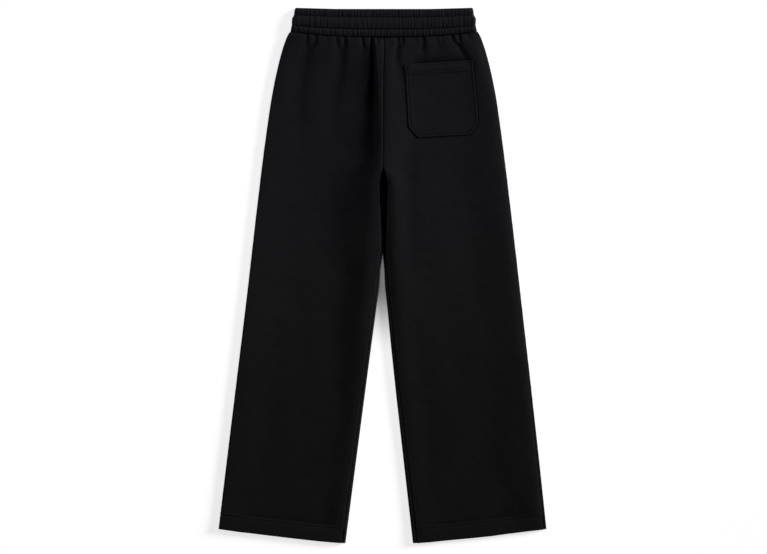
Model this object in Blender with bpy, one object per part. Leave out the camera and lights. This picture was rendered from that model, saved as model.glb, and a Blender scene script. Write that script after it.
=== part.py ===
# Wide-leg fleece sweatpants, laid flat on their front panels with the back up.
# Metres, +Z up, waist towards +Y. The origin is under the middle of the garment's box.
# Each piece of cloth is a wall: outer points in sections across the garment, inner points
# one cloth thickness inside them, and rims where the cloth ends.
import math
import random

import bpy
from mathutils import Vector

# ---- driving sizes, in metres ----
CLOTH = 0.0020            # fleece wall
TURNED = 0.0031           # two layers where the hem is turned up and stitched flat
SEAM_GAP = 0.0003         # left between two pieces that are sewn together
CENTRE_X = 0.0015         # centre back seam, a little to the right of the box's middle
CROTCH_ROW = 12           # the section in SECTIONS where the two legs part
EDGE_ZONE = 0.016         # how far in from a leg's edge the fold's own points reach
EDGE_REACH = 0.045        # how far in from an edge its height is felt
SEAT_BOW = 1.6            # how the sections above the crotch dip towards the centre seam
HEM_CHAMFER = 0.0008      # the turned hem's rounded edge

# Side outline, a row for each station: height along the leg, left edge, right edge.
OUTLINE = (
    # name          y        left     right
    ("waist seam",  0.4890, -0.1839, 0.1885),
    ("yoke",        0.4710, -0.1937, 0.1983),
    ("high hip",    0.4310, -0.2061, 0.2105),
    ("hip",         0.3710, -0.2193, 0.2239),
    ("seat",        0.2710, -0.2345, 0.2387),
    ("upper thigh", 0.1510, -0.2495, 0.2535),
    ("thigh",      -0.0450, -0.2721, 0.2763),
    ("knee",       -0.2370, -0.2955, 0.2981),
    ("calf",       -0.4290, -0.3187, 0.3195),
    ("hem",        -0.5060, -0.3277, 0.3276),
)

# Inner outline, a row for each station: centre seam down to the crotch, then the inner edges.
INNER_OUTLINE = (
    # name           y        left     right
    ("waist seam",   0.4770,  0.0029,  0.0029),
    ("seat",         0.3000,  0.0014,  0.0014),
    ("crotch",       0.2110,  0.0007,  0.0007),
    ("legs touch",   0.0450,  0.0002,  0.0002),
    ("legs part",    0.0110, -0.0047,  0.0033),
    ("high thigh",  -0.0210, -0.0067,  0.0047),
    ("thigh",       -0.0690, -0.0135,  0.0099),
    ("above knee",  -0.1410, -0.0235,  0.0169),
    ("knee",        -0.2370, -0.0363,  0.0271),
    ("calf",        -0.4290, -0.0615,  0.0487),
    ("hem",         -0.5340, -0.0752,  0.0606),
)

# Sections from the waist seam to the hem, a row for each: where it meets the outer and the
# inner edge, the wall there, and the height of the top face at the outer fold, in the
# middle of the panel, and at the centre seam or the inner fold.
SECTIONS = (
    # name             outer_y  inner_y  wall    outer_z  middle_z  inner_z
    ("waist seam",      0.4890,  0.4768, 0.0036, 0.0098, 0.0104, 0.0106),
    ("seam allowance",  0.4830,  0.4690, 0.0032, 0.0095, 0.0100, 0.0103),
    ("gathers",         0.4740,  0.4600, 0.0026, 0.0090, 0.0093, 0.0098),
    ("gathers end",     0.4620,  0.4480, CLOTH,  0.0086, 0.0086, 0.0094),
    ("yoke",            0.4460,  0.4330, CLOTH,  0.0084, 0.0079, 0.0091),
    ("high hip",        0.4220,  0.4120, CLOTH,  0.0082, 0.0073, 0.0089),
    ("hip",             0.3950,  0.3880, CLOTH,  0.0082, 0.0068, 0.0086),
    ("low hip",         0.3620,  0.3580, CLOTH,  0.0081, 0.0065, 0.0085),
    ("high seat",       0.3220,  0.3200, CLOTH,  0.0080, 0.0062, 0.0084),
    ("seat",            0.2780,  0.2780, CLOTH,  0.0080, 0.0060, 0.0086),
    ("low seat",        0.2420,  0.2420, CLOTH,  0.0080, 0.0058, 0.0089),
    ("above crotch",    0.2180,  0.2180, CLOTH,  0.0080, 0.0057, 0.0092),
    ("crotch",          0.2110,  0.2110, CLOTH,  0.0080, 0.0057, 0.0096),
    ("under crotch",    0.2065,  0.2065, CLOTH,  0.0080, 0.0057, 0.0099),
    ("below crotch",    0.2020,  0.2020, CLOTH,  0.0080, 0.0056, 0.0102),
    ("crotch opens",    0.1930,  0.1930, CLOTH,  0.0080, 0.0056, 0.0104),
    ("crotch fold",     0.1830,  0.1830, CLOTH,  0.0080, 0.0055, 0.0105),
    ("upper thigh",     0.1450,  0.1450, CLOTH,  0.0080, 0.0054, 0.0103),
    ("legs close",      0.0950,  0.0950, CLOTH,  0.0080, 0.0053, 0.0094),
    ("legs touch",      0.0450,  0.0450, CLOTH,  0.0080, 0.0052, 0.0086),
    ("legs part",       0.0080,  0.0080, CLOTH,  0.0080, 0.0052, 0.0083),
    ("thigh",          -0.0480, -0.0500, CLOTH,  0.0079, 0.0052, 0.0080),
    ("above knee",     -0.1200, -0.1220, CLOTH,  0.0078, 0.0052, 0.0078),
    ("high knee",      -0.1700, -0.1740, CLOTH,  0.0078, 0.0052, 0.0078),
    ("knee",           -0.2260, -0.2340, CLOTH,  0.0077, 0.0051, 0.0077),
    ("under knee",     -0.2900, -0.3030, CLOTH,  0.0077, 0.0051, 0.0077),
    ("calf",           -0.3700, -0.3900, CLOTH,  0.0076, 0.0051, 0.0076),
    ("above hem",      -0.4720, -0.5005, CLOTH,  0.0076, 0.0051, 0.0076),
    ("hem stitches",   -0.4790, -0.5075, TURNED, 0.0077, 0.0068, 0.0077),
    ("hem",            -0.5036, -0.5323, TURNED, 0.0077, 0.0068, 0.0077),
    ("hem edge",       -0.5058, -0.5345, TURNED - HEM_CHAMFER, 0.0069, 0.0060, 0.0069),
)

# How far in from the leg's edge each seam lies on the top face, a row for each station.
# A seam below zero lies just under the edge, out of sight from above.
SEAM_INSETS = (
    # name           y        outer left  outer right  inner
    ("waist seam",   0.4890, -0.0015,     0.0016,      0.0),
    ("crotch",       0.2110, -0.0015,     0.0016,      0.0016),
    ("under crotch", 0.2065, -0.0015,     0.0016,      0.0026),
    ("below crotch", 0.2020, -0.0015,     0.0016,      0.0036),
    ("crotch opens", 0.1930, -0.0015,     0.0016,      0.0046),
    ("crotch fold",  0.1830, -0.0015,     0.0016,      0.0052),
    ("upper thigh",  0.1450, -0.0015,     0.0016,      0.0050),
    ("legs touch",   0.0450, -0.0015,     0.0016,      0.0042),
    ("thigh",       -0.0500, -0.0015,     0.0017,      0.0052),
    ("above knee",  -0.1200, -0.0015,     0.0019,      0.0059),
    ("high knee",   -0.1700, -0.0015,     0.0023,      0.0063),
    ("knee",        -0.2260, -0.0015,     0.0029,      0.0067),
    ("under knee",  -0.2900, -0.0015,     0.0037,      0.0070),
    ("calf",        -0.3700, -0.0015,     0.0048,      0.0073),
    ("hem",         -0.5340, -0.0015,     0.0056,      0.0078),
)

# The largest folds press the whole wall down. Start and end, half widths and depths there.
TROUGHS = (
    # name                   x0       y0      x1       y1     wide0   wide1   deep0   deep1
    ("seat trough",        -0.0209, 0.4750, -0.0193, 0.4050, 0.0045, 0.0085, 0.0032, 0.0028),
    ("seat trough, low",   -0.0193, 0.4050, -0.0290, 0.2510, 0.0085, 0.0190, 0.0028, 0.0014),
    ("beside the crotch",  -0.0290, 0.2510, -0.0220, 0.1300, 0.0200, 0.0180, 0.0006, 0.0012),
    ("to the pocket",       0.1399, 0.4790,  0.1667, 0.4390, 0.0040, 0.0080, 0.0018, 0.0010),
    ("right of centre",     0.0427, 0.4770,  0.0327, 0.4330, 0.0045, 0.0070, 0.0012, 0.0008),
    ("left thigh",         -0.0700, 0.1700, -0.0700, -0.0500, 0.0180, 0.0200, 0.0006, 0.0004),
)

# Gathers at the waist seam lie in the outer face alone, over a plain inside.
GATHERS = (
    # x0       y0      x1       y1      wide0   wide1   deep0   deep1
    (-0.1497, 0.4850, -0.1497, 0.4630, 0.0040, 0.0050, 0.0020, 0.0002),
    (-0.1299, 0.4820, -0.1393, 0.4510, 0.0048, 0.0066, 0.0021, 0.0005),
    (-0.1100, 0.4800, -0.1100, 0.4680, 0.0034, 0.0044, 0.0009, 0.0001),
    (-0.0919, 0.4780, -0.0859, 0.4630, 0.0042, 0.0054, 0.0020, 0.0003),
    (-0.0743, 0.4780, -0.0727, 0.4330, 0.0044, 0.0074, 0.0022, 0.0004),
    (-0.0560, 0.4770, -0.0560, 0.4650, 0.0034, 0.0044, 0.0009, 0.0001),
    (-0.0375, 0.4770, -0.0333, 0.4590, 0.0040, 0.0052, 0.0020, 0.0003),
    (-0.0083, 0.4768, -0.0083, 0.4630, 0.0034, 0.0042, 0.0014, 0.0002),
    (0.0227, 0.4768, 0.0215, 0.4640, 0.0034, 0.0044, 0.0009, 0.0001),
    (0.0637, 0.4780, 0.0637, 0.4610, 0.0040, 0.0052, 0.0014, 0.0002),
    (0.0843, 0.4780, 0.0843, 0.4550, 0.0042, 0.0062, 0.0020, 0.0003),
    (0.1147, 0.4800, 0.1147, 0.4630, 0.0040, 0.0052, 0.0014, 0.0002),
    (0.1561, 0.4850, 0.1590, 0.4640, 0.0038, 0.0052, 0.0015, 0.0002),
    (0.1725, 0.4870, 0.1760, 0.4700, 0.0036, 0.0048, 0.0013, 0.0002),
)

# Columns of points across a panel.
EDGE_COLUMNS = 6          # round each edge of a back panel
MIDDLE_COLUMNS = 11       # cells between the two edge zones of a back panel
WRAP_COLUMNS = 7          # round each edge of a front panel
FLAT_COLUMNS = 3          # cells across the flat underside of a front panel
GATHER_ROWS = 5           # sections near the waist whose cells are split further
GATHER_SPLIT = 3          # how many ways each of those cells is split

# Waistband: an elastic in a folded casing, one tube, stitched into three channels.
BAND_CENTRE_Y = 0.4771    # waist seam at the centre back
BAND_SIDE_RISE = 0.0122   # how much higher the seam lies at the sides
BAND_TOP_Y = 0.5328       # top edge at the centre back
BAND_TOP_RISE = 0.0004    # how much higher the top edge lies at the sides
BAND_TOP_BOW = 6          # how late that rise comes
BAND_FRONT_PEEK = 0.0014  # how far the front's top edge shows past the back's
BAND_PEEK_FROM = 0.45     # where it starts to show, as a share of the half width
BAND_PEEK_FULL = 0.65     # and where it shows in full
BAND_WALL = 0.0050        # two layers of fleece over the elastic
BAND_HOLLOW = 0.0006      # left open between the flattened walls
BAND_WALL_ENDS = 0.0010   # half width of the hollow's rounded end
BAND_ROWS = (
    # name              share   left     right    height   rib depth
    ("seam",            0.00, -0.1837, 0.1883, 0.0110, 0.0004),
    ("low channel",     0.14, -0.1832, 0.1874, 0.0124, 0.0010),
    ("low stitching",   0.27, -0.1817, 0.1858, 0.0106, 0.0003),
    ("middle, low",     0.34, -0.1818, 0.1862, 0.0124, 0.0013),
    ("middle",          0.50, -0.1812, 0.1866, 0.0130, 0.0017),
    ("middle, high",    0.65, -0.1797, 0.1847, 0.0124, 0.0013),
    ("high stitching",  0.72, -0.1775, 0.1827, 0.0106, 0.0003),
    ("high channel",    0.85, -0.1765, 0.1816, 0.0119, 0.0010),
    ("top, rounded",    0.96, -0.1752, 0.1804, 0.0109, 0.0007),
    ("top edge",        1.00, -0.1737, 0.1788, 0.0092, 0.0003),
)
MIDDLE_ROWS = ("middle, low", "middle", "middle, high")
RIB_COUNT = 56            # narrow ribs across the back of the band
RIB_SHAPE = (0.0, 0.34, 0.68)   # valley, crest, crest
RIB_HEIGHTS = (-1.0, 0.55, 0.5)
RIB_UNEVEN = 0.35         # how much their widths differ
RIB_SHALLOW = 0.6         # the shallowest rib, as a share of the deepest
WIDE_RIBS = (1, 2, 2)     # the middle channel's ribs take in one or two narrow ones
WIDE_RIB_CREST = 0.6      # how far they rise, as a share of how far they dip
WIDE_RIB_ROUND = 0.7      # below 1 the crest is broad and the valley a crease
BAND_FOLD_COLUMNS = 6     # round each side of the band
BAND_FLAT_COLUMNS = 8     # across its flat underside
BAND_CHAIN = 6            # outer points to one inner point across the back

# Patch pocket on the right back, seen square on: mouth at the top.
POCKET_MOUTH_X = 0.1119   # middle of the mouth
POCKET_MOUTH_Y = 0.4293
POCKET_TILT = math.radians(3.6)
POCKET_MOUTH = 0.1370     # width at the mouth
POCKET_LOW = 0.1405       # width where the corners are cut off
POCKET_LOW_SHIFT = 0.0014 # the lower half leans this far to the side
POCKET_HEIGHT = 0.1500
POCKET_CORNER_X = 0.0185  # the cut corners
POCKET_CORNER_Y = 0.0225
POCKET_STRAIGHT = POCKET_HEIGHT - POCKET_CORNER_Y
POCKET_HEM = 0.0230       # depth of the turned hem at the mouth
POCKET_CLOTH = 0.0017
POCKET_TURNED = 0.0030    # the hem's two layers, stitched flat
POCKET_LIFT = 0.0012      # how far the mouth stands off the seat
POCKET_CLEARANCE = 0.0004
POCKET_COLUMNS = 10
# A row for each line across the pocket: how far below the mouth, the wall there, the share
# of the lift, and how much of the cut corners the line has lost.
POCKET_LINES = (
    # down                    wall                    lift  cut
    (0.0000,                  POCKET_TURNED - 0.0008, 1.00, 0.0),
    (0.0015,                  POCKET_TURNED,          0.95, 0.0),
    (POCKET_HEM - 0.0010,     POCKET_TURNED,          0.25, 0.0),
    (POCKET_HEM + 0.0020,     POCKET_CLOTH,           0.18, 0.0),
    (0.38 * POCKET_STRAIGHT,  POCKET_CLOTH,           0.00, 0.0),
    (0.58 * POCKET_STRAIGHT,  POCKET_CLOTH,           0.00, 0.0),
    (0.79 * POCKET_STRAIGHT,  POCKET_CLOTH,           0.00, 0.0),
    (POCKET_STRAIGHT,         POCKET_CLOTH,           0.00, 0.0),
    (POCKET_HEIGHT,           POCKET_CLOTH,           0.00, 1.0),
)

BLACK_FLEECE = (0.010, 0.010, 0.012, 1.0)
BLACK_BAND = (0.011, 0.011, 0.013, 1.0)
FLEECE_ROUGHNESS = 0.95
SHARP_ANGLE = math.radians(50)


def clear_scene():
    for existing in list(bpy.data.objects):
        bpy.data.objects.remove(existing, do_unlink=True)


def fleece_material(name, colour):
    material = bpy.data.materials.new(name)
    material.use_nodes = True
    shader = material.node_tree.nodes["Principled BSDF"]
    shader.inputs["Base Color"].default_value = colour
    shader.inputs["Roughness"].default_value = FLEECE_ROUGHNESS
    shader.inputs["Metallic"].default_value = 0.0
    return material


def mix(start, end, share):
    return start + (end - start) * share


def smooth(share):
    share = min(max(share, 0.0), 1.0)
    return share * share * (3.0 - 2.0 * share)


def read_table(table, y, column, rounded=True):
    """Value of one column at a height y, on a curve or on straight lines through the rows."""
    rows = sorted((row[1], row[column]) for row in table)
    if y <= rows[0][0]:
        return rows[0][1]
    if y >= rows[-1][0]:
        return rows[-1][1]
    index = max(i for i in range(len(rows) - 1) if rows[i][0] <= y)
    (y0, v0), (y1, v1) = rows[index], rows[index + 1]
    step = (v1 - v0) / (y1 - y0)
    if not rounded:
        return v0 + step * (y - y0)
    before = step
    after = step
    if index > 0:
        before = (step + (v0 - rows[index - 1][1]) / (y0 - rows[index - 1][0])) / 2
    if index + 2 < len(rows):
        after = (step + (rows[index + 2][1] - v1) / (rows[index + 2][0] - y1)) / 2
    if before * step <= 0:
        before = 0.0
    if after * step <= 0:
        after = 0.0
    t = (y - y0) / (y1 - y0)
    span = y1 - y0
    return ((2 * t**3 - 3 * t**2 + 1) * v0 + (t**3 - 2 * t**2 + t) * span * before
            + (3 * t**2 - 2 * t**3) * v1 + (t**3 - t**2) * span * after)


def fold_depth(folds, x, y):
    """Total depth of the folds in a table at one place."""
    depth = 0.0
    for row in folds:
        x0, y0, x1, y1, wide0, wide1, deep0, deep1 = row[-8:]
        run_x = x1 - x0
        run_y = y1 - y0
        share = ((x - x0) * run_x + (y - y0) * run_y) / (run_x**2 + run_y**2)
        share = min(max(share, 0.0), 1.0)
        away = math.hypot(x - mix(x0, x1, share), y - mix(y0, y1, share))
        depth += mix(deep0, deep1, share) * math.exp(-(away / mix(wide0, wide1, share))**2)
    return depth


class Section:
    """One section across one leg, from its outer edge to the centre seam or inner edge."""

    def __init__(self, side, index):
        row = SECTIONS[index]
        self.side = side                       # -1 left leg, +1 right leg
        self.above_crotch = index < CROTCH_ROW
        self.at_crotch = index == CROTCH_ROW
        self.outer_y, self.inner_y, self.wall = row[1:4]
        self.outer_z, self.middle_z, self.inner_z = row[4:7]
        column = 2 if side < 0 else 3
        self.outer_x = read_table(OUTLINE, self.outer_y, column)
        self.inner_x = (read_table(INNER_OUTLINE, self.inner_y, column, rounded=False)
                        + side * SEAM_GAP / 2)
        self.width = abs(self.outer_x - self.inner_x)
        self.outer_inset = read_table(SEAM_INSETS, self.outer_y, column)
        self.inner_inset = read_table(SEAM_INSETS, self.inner_y, 4)

    def edge_height(self, edge):
        return self.outer_z if edge == "outer" else self.inner_z

    def place(self, edge, distance, z):
        """A point a distance in from one edge, in plan, at height z."""
        if edge == "outer":
            x = self.outer_x - self.side * distance
        else:
            x = self.inner_x + self.side * distance
        share = min(max(abs(x - self.inner_x) / self.width, 0.0), 1.0)
        bow = SEAT_BOW if self.above_crotch else 1.0
        y = self.inner_y + (self.outer_y - self.inner_y) * share**bow
        return Vector((x, y, z))

    def top(self, point):
        """Height of the plain top face over a point, with its large folds."""
        from_outer = abs(point.x - self.outer_x)
        from_inner = abs(point.x - self.inner_x)
        outer_share = smooth(1.0 - (from_outer - self.outer_z / 2) / EDGE_REACH)
        inner_share = smooth(1.0 - (from_inner - self.inner_z / 2) / EDGE_REACH)
        height = (self.middle_z + (self.outer_z - self.middle_z) * outer_share
                  + (self.inner_z - self.middle_z) * inner_share)
        lowest = 2 * self.wall + 2 * SEAM_GAP
        edge_calm = smooth(from_outer / EDGE_ZONE)
        return max(height - fold_depth(TROUGHS, point.x, point.y) * edge_calm, lowest)

    def seam_run(self, edge):
        """Length round the fold from its outermost point to the seam."""
        radius = self.edge_height(edge) / 2
        inset = self.outer_inset if edge == "outer" else self.inner_inset
        if inset < radius:
            turn = math.acos(1.0 - abs(inset) / radius)
            return math.copysign(turn, inset) * radius
        return radius * math.pi / 2 + inset - radius

    def round_edge(self, edge, run, depth):
        """A point on the folded edge, a run round it, a depth into the wall."""
        radius = self.edge_height(edge) / 2
        turn = run / radius
        if turn > math.pi / 2:
            distance = radius + run - radius * math.pi / 2
            point = self.place(edge, distance, 0.0)
            point.z = self.top(point) - depth
            return point
        if turn < -math.pi / 2:
            return self.place(edge, radius - run - radius * math.pi / 2, depth)
        reach = radius - depth
        if self.at_crotch and edge == "inner" and turn < 0.0:
            # the underside reaches the centre seam before the leg's fold rounds it off
            return self.place(edge, depth, max(radius + radius * math.sin(turn), depth))
        return self.place(edge, radius - reach * math.cos(turn), radius + reach * math.sin(turn))


def back_columns(section, depth):
    """Points across a back panel, outer edge first."""
    points = []
    for edge in ("outer", "inner"):
        radius = section.edge_height(edge) / 2
        first = section.seam_run(edge) + SEAM_GAP / 2
        last = radius * math.pi / 2 + EDGE_ZONE - radius
        side = []
        for i in range(EDGE_COLUMNS + 1):
            share = i / EDGE_COLUMNS
            if edge == "inner" and section.above_crotch:
                point = section.place(edge, EDGE_ZONE * share, 0.0)
                point.z = section.top(point) - depth
            else:
                point = section.round_edge(edge, mix(first, last, share), depth)
            side.append(point)
        points.append(side)
    outer_side, inner_side = points
    middle = []
    for i in range(1, MIDDLE_COLUMNS):
        share = i / MIDDLE_COLUMNS
        x = mix(outer_side[-1].x, inner_side[-1].x, share)
        point = section.place("outer", abs(x - section.outer_x), 0.0)
        point.z = section.top(point) - depth
        middle.append(point)
    return outer_side + middle + inner_side[::-1]


def front_columns(section, depth):
    """Points across a front panel: outer seam, round the edge, underneath, inner seam."""
    sides = []
    for edge in ("outer", "inner"):
        radius = section.edge_height(edge) / 2
        last = section.seam_run(edge) - SEAM_GAP / 2
        first = -radius * math.pi / 2
        side = [section.place(edge, EDGE_ZONE, depth)]
        for i in range(WRAP_COLUMNS + 1):
            run = mix(first, last, i / WRAP_COLUMNS)
            if edge == "inner" and section.above_crotch:
                side.append(section.place(edge, 0.0, depth))
            else:
                side.append(section.round_edge(edge, run, depth))
        sides.append(side)
    outer_side, inner_side = sides
    middle = []
    for i in range(1, FLAT_COLUMNS):
        x = mix(outer_side[0].x, inner_side[0].x, i / FLAT_COLUMNS)
        middle.append(section.place("outer", abs(x - section.outer_x), depth))
    return outer_side[::-1] + middle + inner_side


def add_gathers(point):
    return Vector((point.x, point.y, point.z - fold_depth(GATHERS, point.x, point.y)))


def split_cells(section, points, split):
    """Chains of points along a section, one chain for each cell, on the top face."""
    chains = []
    for start, end in zip(points, points[1:]):
        chain = [start]
        for i in range(1, split):
            middle = start.lerp(end, i / split)
            from_outer = abs(middle.x - section.outer_x)
            if from_outer > section.outer_z:
                middle = section.place("outer", from_outer, 0.0)
                middle.z = section.top(middle)
            chain.append(middle)
        chains.append(chain)
    chains.append([points[-1]])
    return chains


def build_wall(name, outer, inner, cell_exists, flip, material):
    """A closed wall from chains of outer points and a plain grid of inner points.

    outer[row][column] is the chain from that column to the next, inner[row][column] a point.
    """
    vertices = []
    faces = []
    outer_ids = []
    for chains in outer:
        ids = []
        for chain in chains:
            ids.append(list(range(len(vertices), len(vertices) + len(chain))))
            vertices.extend(chain)
        outer_ids.append(ids)
    inner_ids = []
    for points in inner:
        inner_ids.append(list(range(len(vertices), len(vertices) + len(points))))
        vertices.extend(points)

    def outer_chain(row, column):
        return outer_ids[row][column] + [outer_ids[row][column + 1][0]]

    rows = len(inner) - 1
    columns = len(inner[0]) - 1

    def exists(row, column):
        return 0 <= row < rows and 0 <= column < columns and cell_exists(row, column)

    for row in range(rows):
        for column in range(columns):
            if not exists(row, column):
                continue
            near = outer_chain(row, column)
            far = outer_chain(row + 1, column)
            if len(near) == len(far):
                for i in range(len(near) - 1):
                    faces.append((near[i], near[i + 1], far[i + 1], far[i]))
            else:
                faces.append(tuple(near + far[::-1]))
            a, b = inner_ids[row][column:column + 2]
            c, d = inner_ids[row + 1][column:column + 2]
            faces.append((a, c, d, b))
            if not exists(row - 1, column):
                faces.append(tuple(near[::-1] + [a, b]))
            if not exists(row + 1, column):
                faces.append(tuple(far + [d, c]))
            if not exists(row, column - 1):
                faces.append((near[0], far[0], c, a))
            if not exists(row, column + 1):
                faces.append((far[-1], near[-1], b, d))
    if flip:
        faces = [face[::-1] for face in faces]
    return add_piece(name, vertices, faces, material)


def add_piece(name, vertices, faces, material):
    used = sorted({index for face in faces for index in face})
    renumber = {old: new for new, old in enumerate(used)}
    mesh = bpy.data.meshes.new(name)
    mesh.from_pydata([vertices[i] for i in used], [],
                     [tuple(renumber[i] for i in face) for face in faces])
    mesh.validate()
    mesh.shade_smooth()
    mesh.set_sharp_from_angle(angle=SHARP_ANGLE)
    mesh.materials.append(material)
    piece = bpy.data.objects.new(name, mesh)
    bpy.context.collection.objects.link(piece)
    return piece


def sections_of(side):
    return [Section(side, index) for index in range(len(SECTIONS))]


def seam_step(section_index, points):
    """The waist section stops half a gap short of the band."""
    if section_index > 0:
        return points
    return [Vector((p.x, p.y - SEAM_GAP / 2, p.z)) for p in points]


def build_back(name, side):
    outer = []
    inner = []
    for index, section in enumerate(sections_of(side)):
        split = GATHER_SPLIT if index < GATHER_ROWS else 1
        chains = split_cells(section, back_columns(section, 0.0), split)
        outer.append([[add_gathers(p) for p in seam_step(index, chain)] for chain in chains])
        inner.append(seam_step(index, back_columns(section, section.wall)))
    return build_wall(name, outer, inner, lambda row, column: True, side < 0,
                      fleece_material(name, BLACK_FLEECE))


def build_front(name, side):
    outer = []
    inner = []
    for index, section in enumerate(sections_of(side)):
        points = seam_step(index, front_columns(section, 0.0))
        outer.append([[point] for point in points])
        inner.append(seam_step(index, front_columns(section, section.wall)))
    first_wrap = len(inner[0]) - 1 - WRAP_COLUMNS

    def cell_exists(row, column):
        return row >= CROTCH_ROW or column < first_wrap

    return build_wall(name, outer, inner, cell_exists, side > 0,
                      fleece_material(name, BLACK_FLEECE))


def band_seam_y(across):
    return BAND_CENTRE_Y + BAND_SIDE_RISE * across**SEAT_BOW


def band_point(row, x, z, on_back):
    """A point of the band at its share of the height between waist seam and top edge."""
    share, left, right = row[1:4]
    reach = right - CENTRE_X if x > CENTRE_X else CENTRE_X - left
    across = min(abs(x - CENTRE_X) / reach, 1.0)
    top_y = BAND_TOP_Y + BAND_TOP_RISE * across**BAND_TOP_BOW
    if not on_back:
        peek = (across - BAND_PEEK_FROM) / (BAND_PEEK_FULL - BAND_PEEK_FROM)
        top_y += BAND_FRONT_PEEK * smooth(peek)
    low_y = band_seam_y(across) + SEAM_GAP / 2
    return Vector((x, mix(low_y, top_y, share), z))


def rib_columns():
    """Shares across the band's back, uneven like real gathers, and their rib heights."""
    pick = random.Random(5)
    widths = [pick.uniform(1.0 - RIB_UNEVEN, 1.0 + RIB_UNEVEN) for _ in range(RIB_COUNT)]
    total = sum(widths)
    depths = [pick.uniform(RIB_SHALLOW, 1.0) for _ in range(RIB_COUNT)]
    groups = []
    while sum(groups) < RIB_COUNT:
        groups.append(min(pick.choice(WIDE_RIBS), RIB_COUNT - sum(groups)))
    wide = []
    for group in groups:
        steps = group * len(RIB_SHAPE)
        depth = pick.uniform(RIB_SHALLOW, 1.0)
        for i in range(steps):
            crest = math.sin(math.pi * i / steps)**WIDE_RIB_ROUND
            wide.append(depth * ((1.0 + WIDE_RIB_CREST) * crest - 1.0))
    columns = []
    start = 0.0
    for index in range(RIB_COUNT):
        for place, height in zip(RIB_SHAPE, RIB_HEIGHTS):
            share = (start + widths[index] * place) / total
            columns.append((share, depths[index] * height, wide[len(columns)]))
        start += widths[index]
    return columns


def band_outer_loop(row, columns):
    """Outer points of one section, from the left fold under the band and back over it."""
    name, _, left, right, height, rib = row
    radius = height / 2
    points = []
    for i in range(BAND_FLAT_COLUMNS + 1):
        x = mix(left + radius, right - radius, i / BAND_FLAT_COLUMNS)
        points.append(band_point(row, x, 0.0, False))
    for i in range(1, BAND_FOLD_COLUMNS):
        turn = math.pi * i / BAND_FOLD_COLUMNS
        x = right - radius + radius * math.sin(turn)
        points.append(band_point(row, x, radius * (1.0 - math.cos(turn)), turn > math.pi / 2))
    for share, narrow, wide in reversed(columns):
        x = mix(left + radius, right - radius, share)
        wave = wide if name in MIDDLE_ROWS else narrow
        points.append(band_point(row, x, height + rib * wave, True))
    for i in range(1, BAND_FOLD_COLUMNS):
        turn = math.pi * i / BAND_FOLD_COLUMNS
        x = left + radius - radius * math.sin(turn)
        points.append(band_point(row, x, radius * (1.0 + math.cos(turn)), turn < math.pi / 2))
    return points


def band_inner_loop(row, outer_loop, corners):
    """Inner points of one section, facing the outer points that are named corners."""
    _, _, left, right, height, _ = row
    radius = height / 2
    middle_z = BAND_WALL + BAND_HOLLOW / 2
    points = []
    for index in corners:
        point = outer_loop[index]
        on_back = point.z > radius
        z = middle_z + BAND_HOLLOW / 2 * (1.0 if on_back else -1.0)
        x = point.x
        low_x = left + radius
        high_x = right - radius
        if x < low_x or x > high_x:
            centre = low_x if x < low_x else high_x
            lean = (point.x - centre) / radius
            x = centre + BAND_WALL_ENDS * lean
            z = middle_z + BAND_HOLLOW / 2 * (point.z - radius) / radius
        points.append(band_point(row, x, z, on_back))
    return points


def build_waistband():
    columns = rib_columns()
    loops = [band_outer_loop(row, columns) for row in BAND_ROWS]
    count = len(loops[0])
    back_start = BAND_FLAT_COLUMNS + BAND_FOLD_COLUMNS
    back_end = back_start + len(columns)
    corners = [i for i in range(count)
               if not back_start < i < back_end - 1 or (i - back_start) % BAND_CHAIN == 0]
    vertices = [point for loop in loops for point in loop]
    faces = []
    for row in range(len(loops) - 1):
        for i in range(count):
            after = (i + 1) % count
            low = row * count
            faces.append((low + i, low + after, low + count + after, low + count + i))
    # the plain inside spans from the seam to the top edge
    inner_rows = (BAND_ROWS[0], BAND_ROWS[-1])
    inner_starts = []
    for row, loop in zip(inner_rows, (loops[0], loops[-1])):
        inner_starts.append(len(vertices))
        vertices.extend(band_inner_loop(row, loop, corners))
    seam_start, top_start = inner_starts
    top_row = (len(loops) - 1) * count
    for k, corner in enumerate(corners):
        after = (k + 1) % len(corners)
        end = corners[after] if after else count
        chain = [i % count for i in range(corner, end + 1)]
        faces.append((seam_start + k, top_start + k, top_start + after, seam_start + after))
        faces.append(tuple(chain[::-1] + [seam_start + k, seam_start + after]))
        faces.append(tuple([top_row + i for i in chain] + [top_start + after, top_start + k]))
    faces = [face[::-1] for face in faces]
    return add_piece("waistband", vertices, faces,
                     fleece_material("waistband", BLACK_BAND))


def seat_height(x, y):
    """Height of the right back panel's outer face over one place."""
    sections = sections_of(1)
    heights = []
    for section in sections:
        point = section.place("outer", abs(x - section.outer_x), 0.0)
        heights.append((point.y, add_gathers(Vector((x, point.y, section.top(point)))).z))
    heights.sort()
    index = max(i for i in range(len(heights) - 1) if heights[i][0] <= y)
    (y0, z0), (y1, z1) = heights[index], heights[index + 1]
    return mix(z0, z1, (y - y0) / (y1 - y0))


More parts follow.
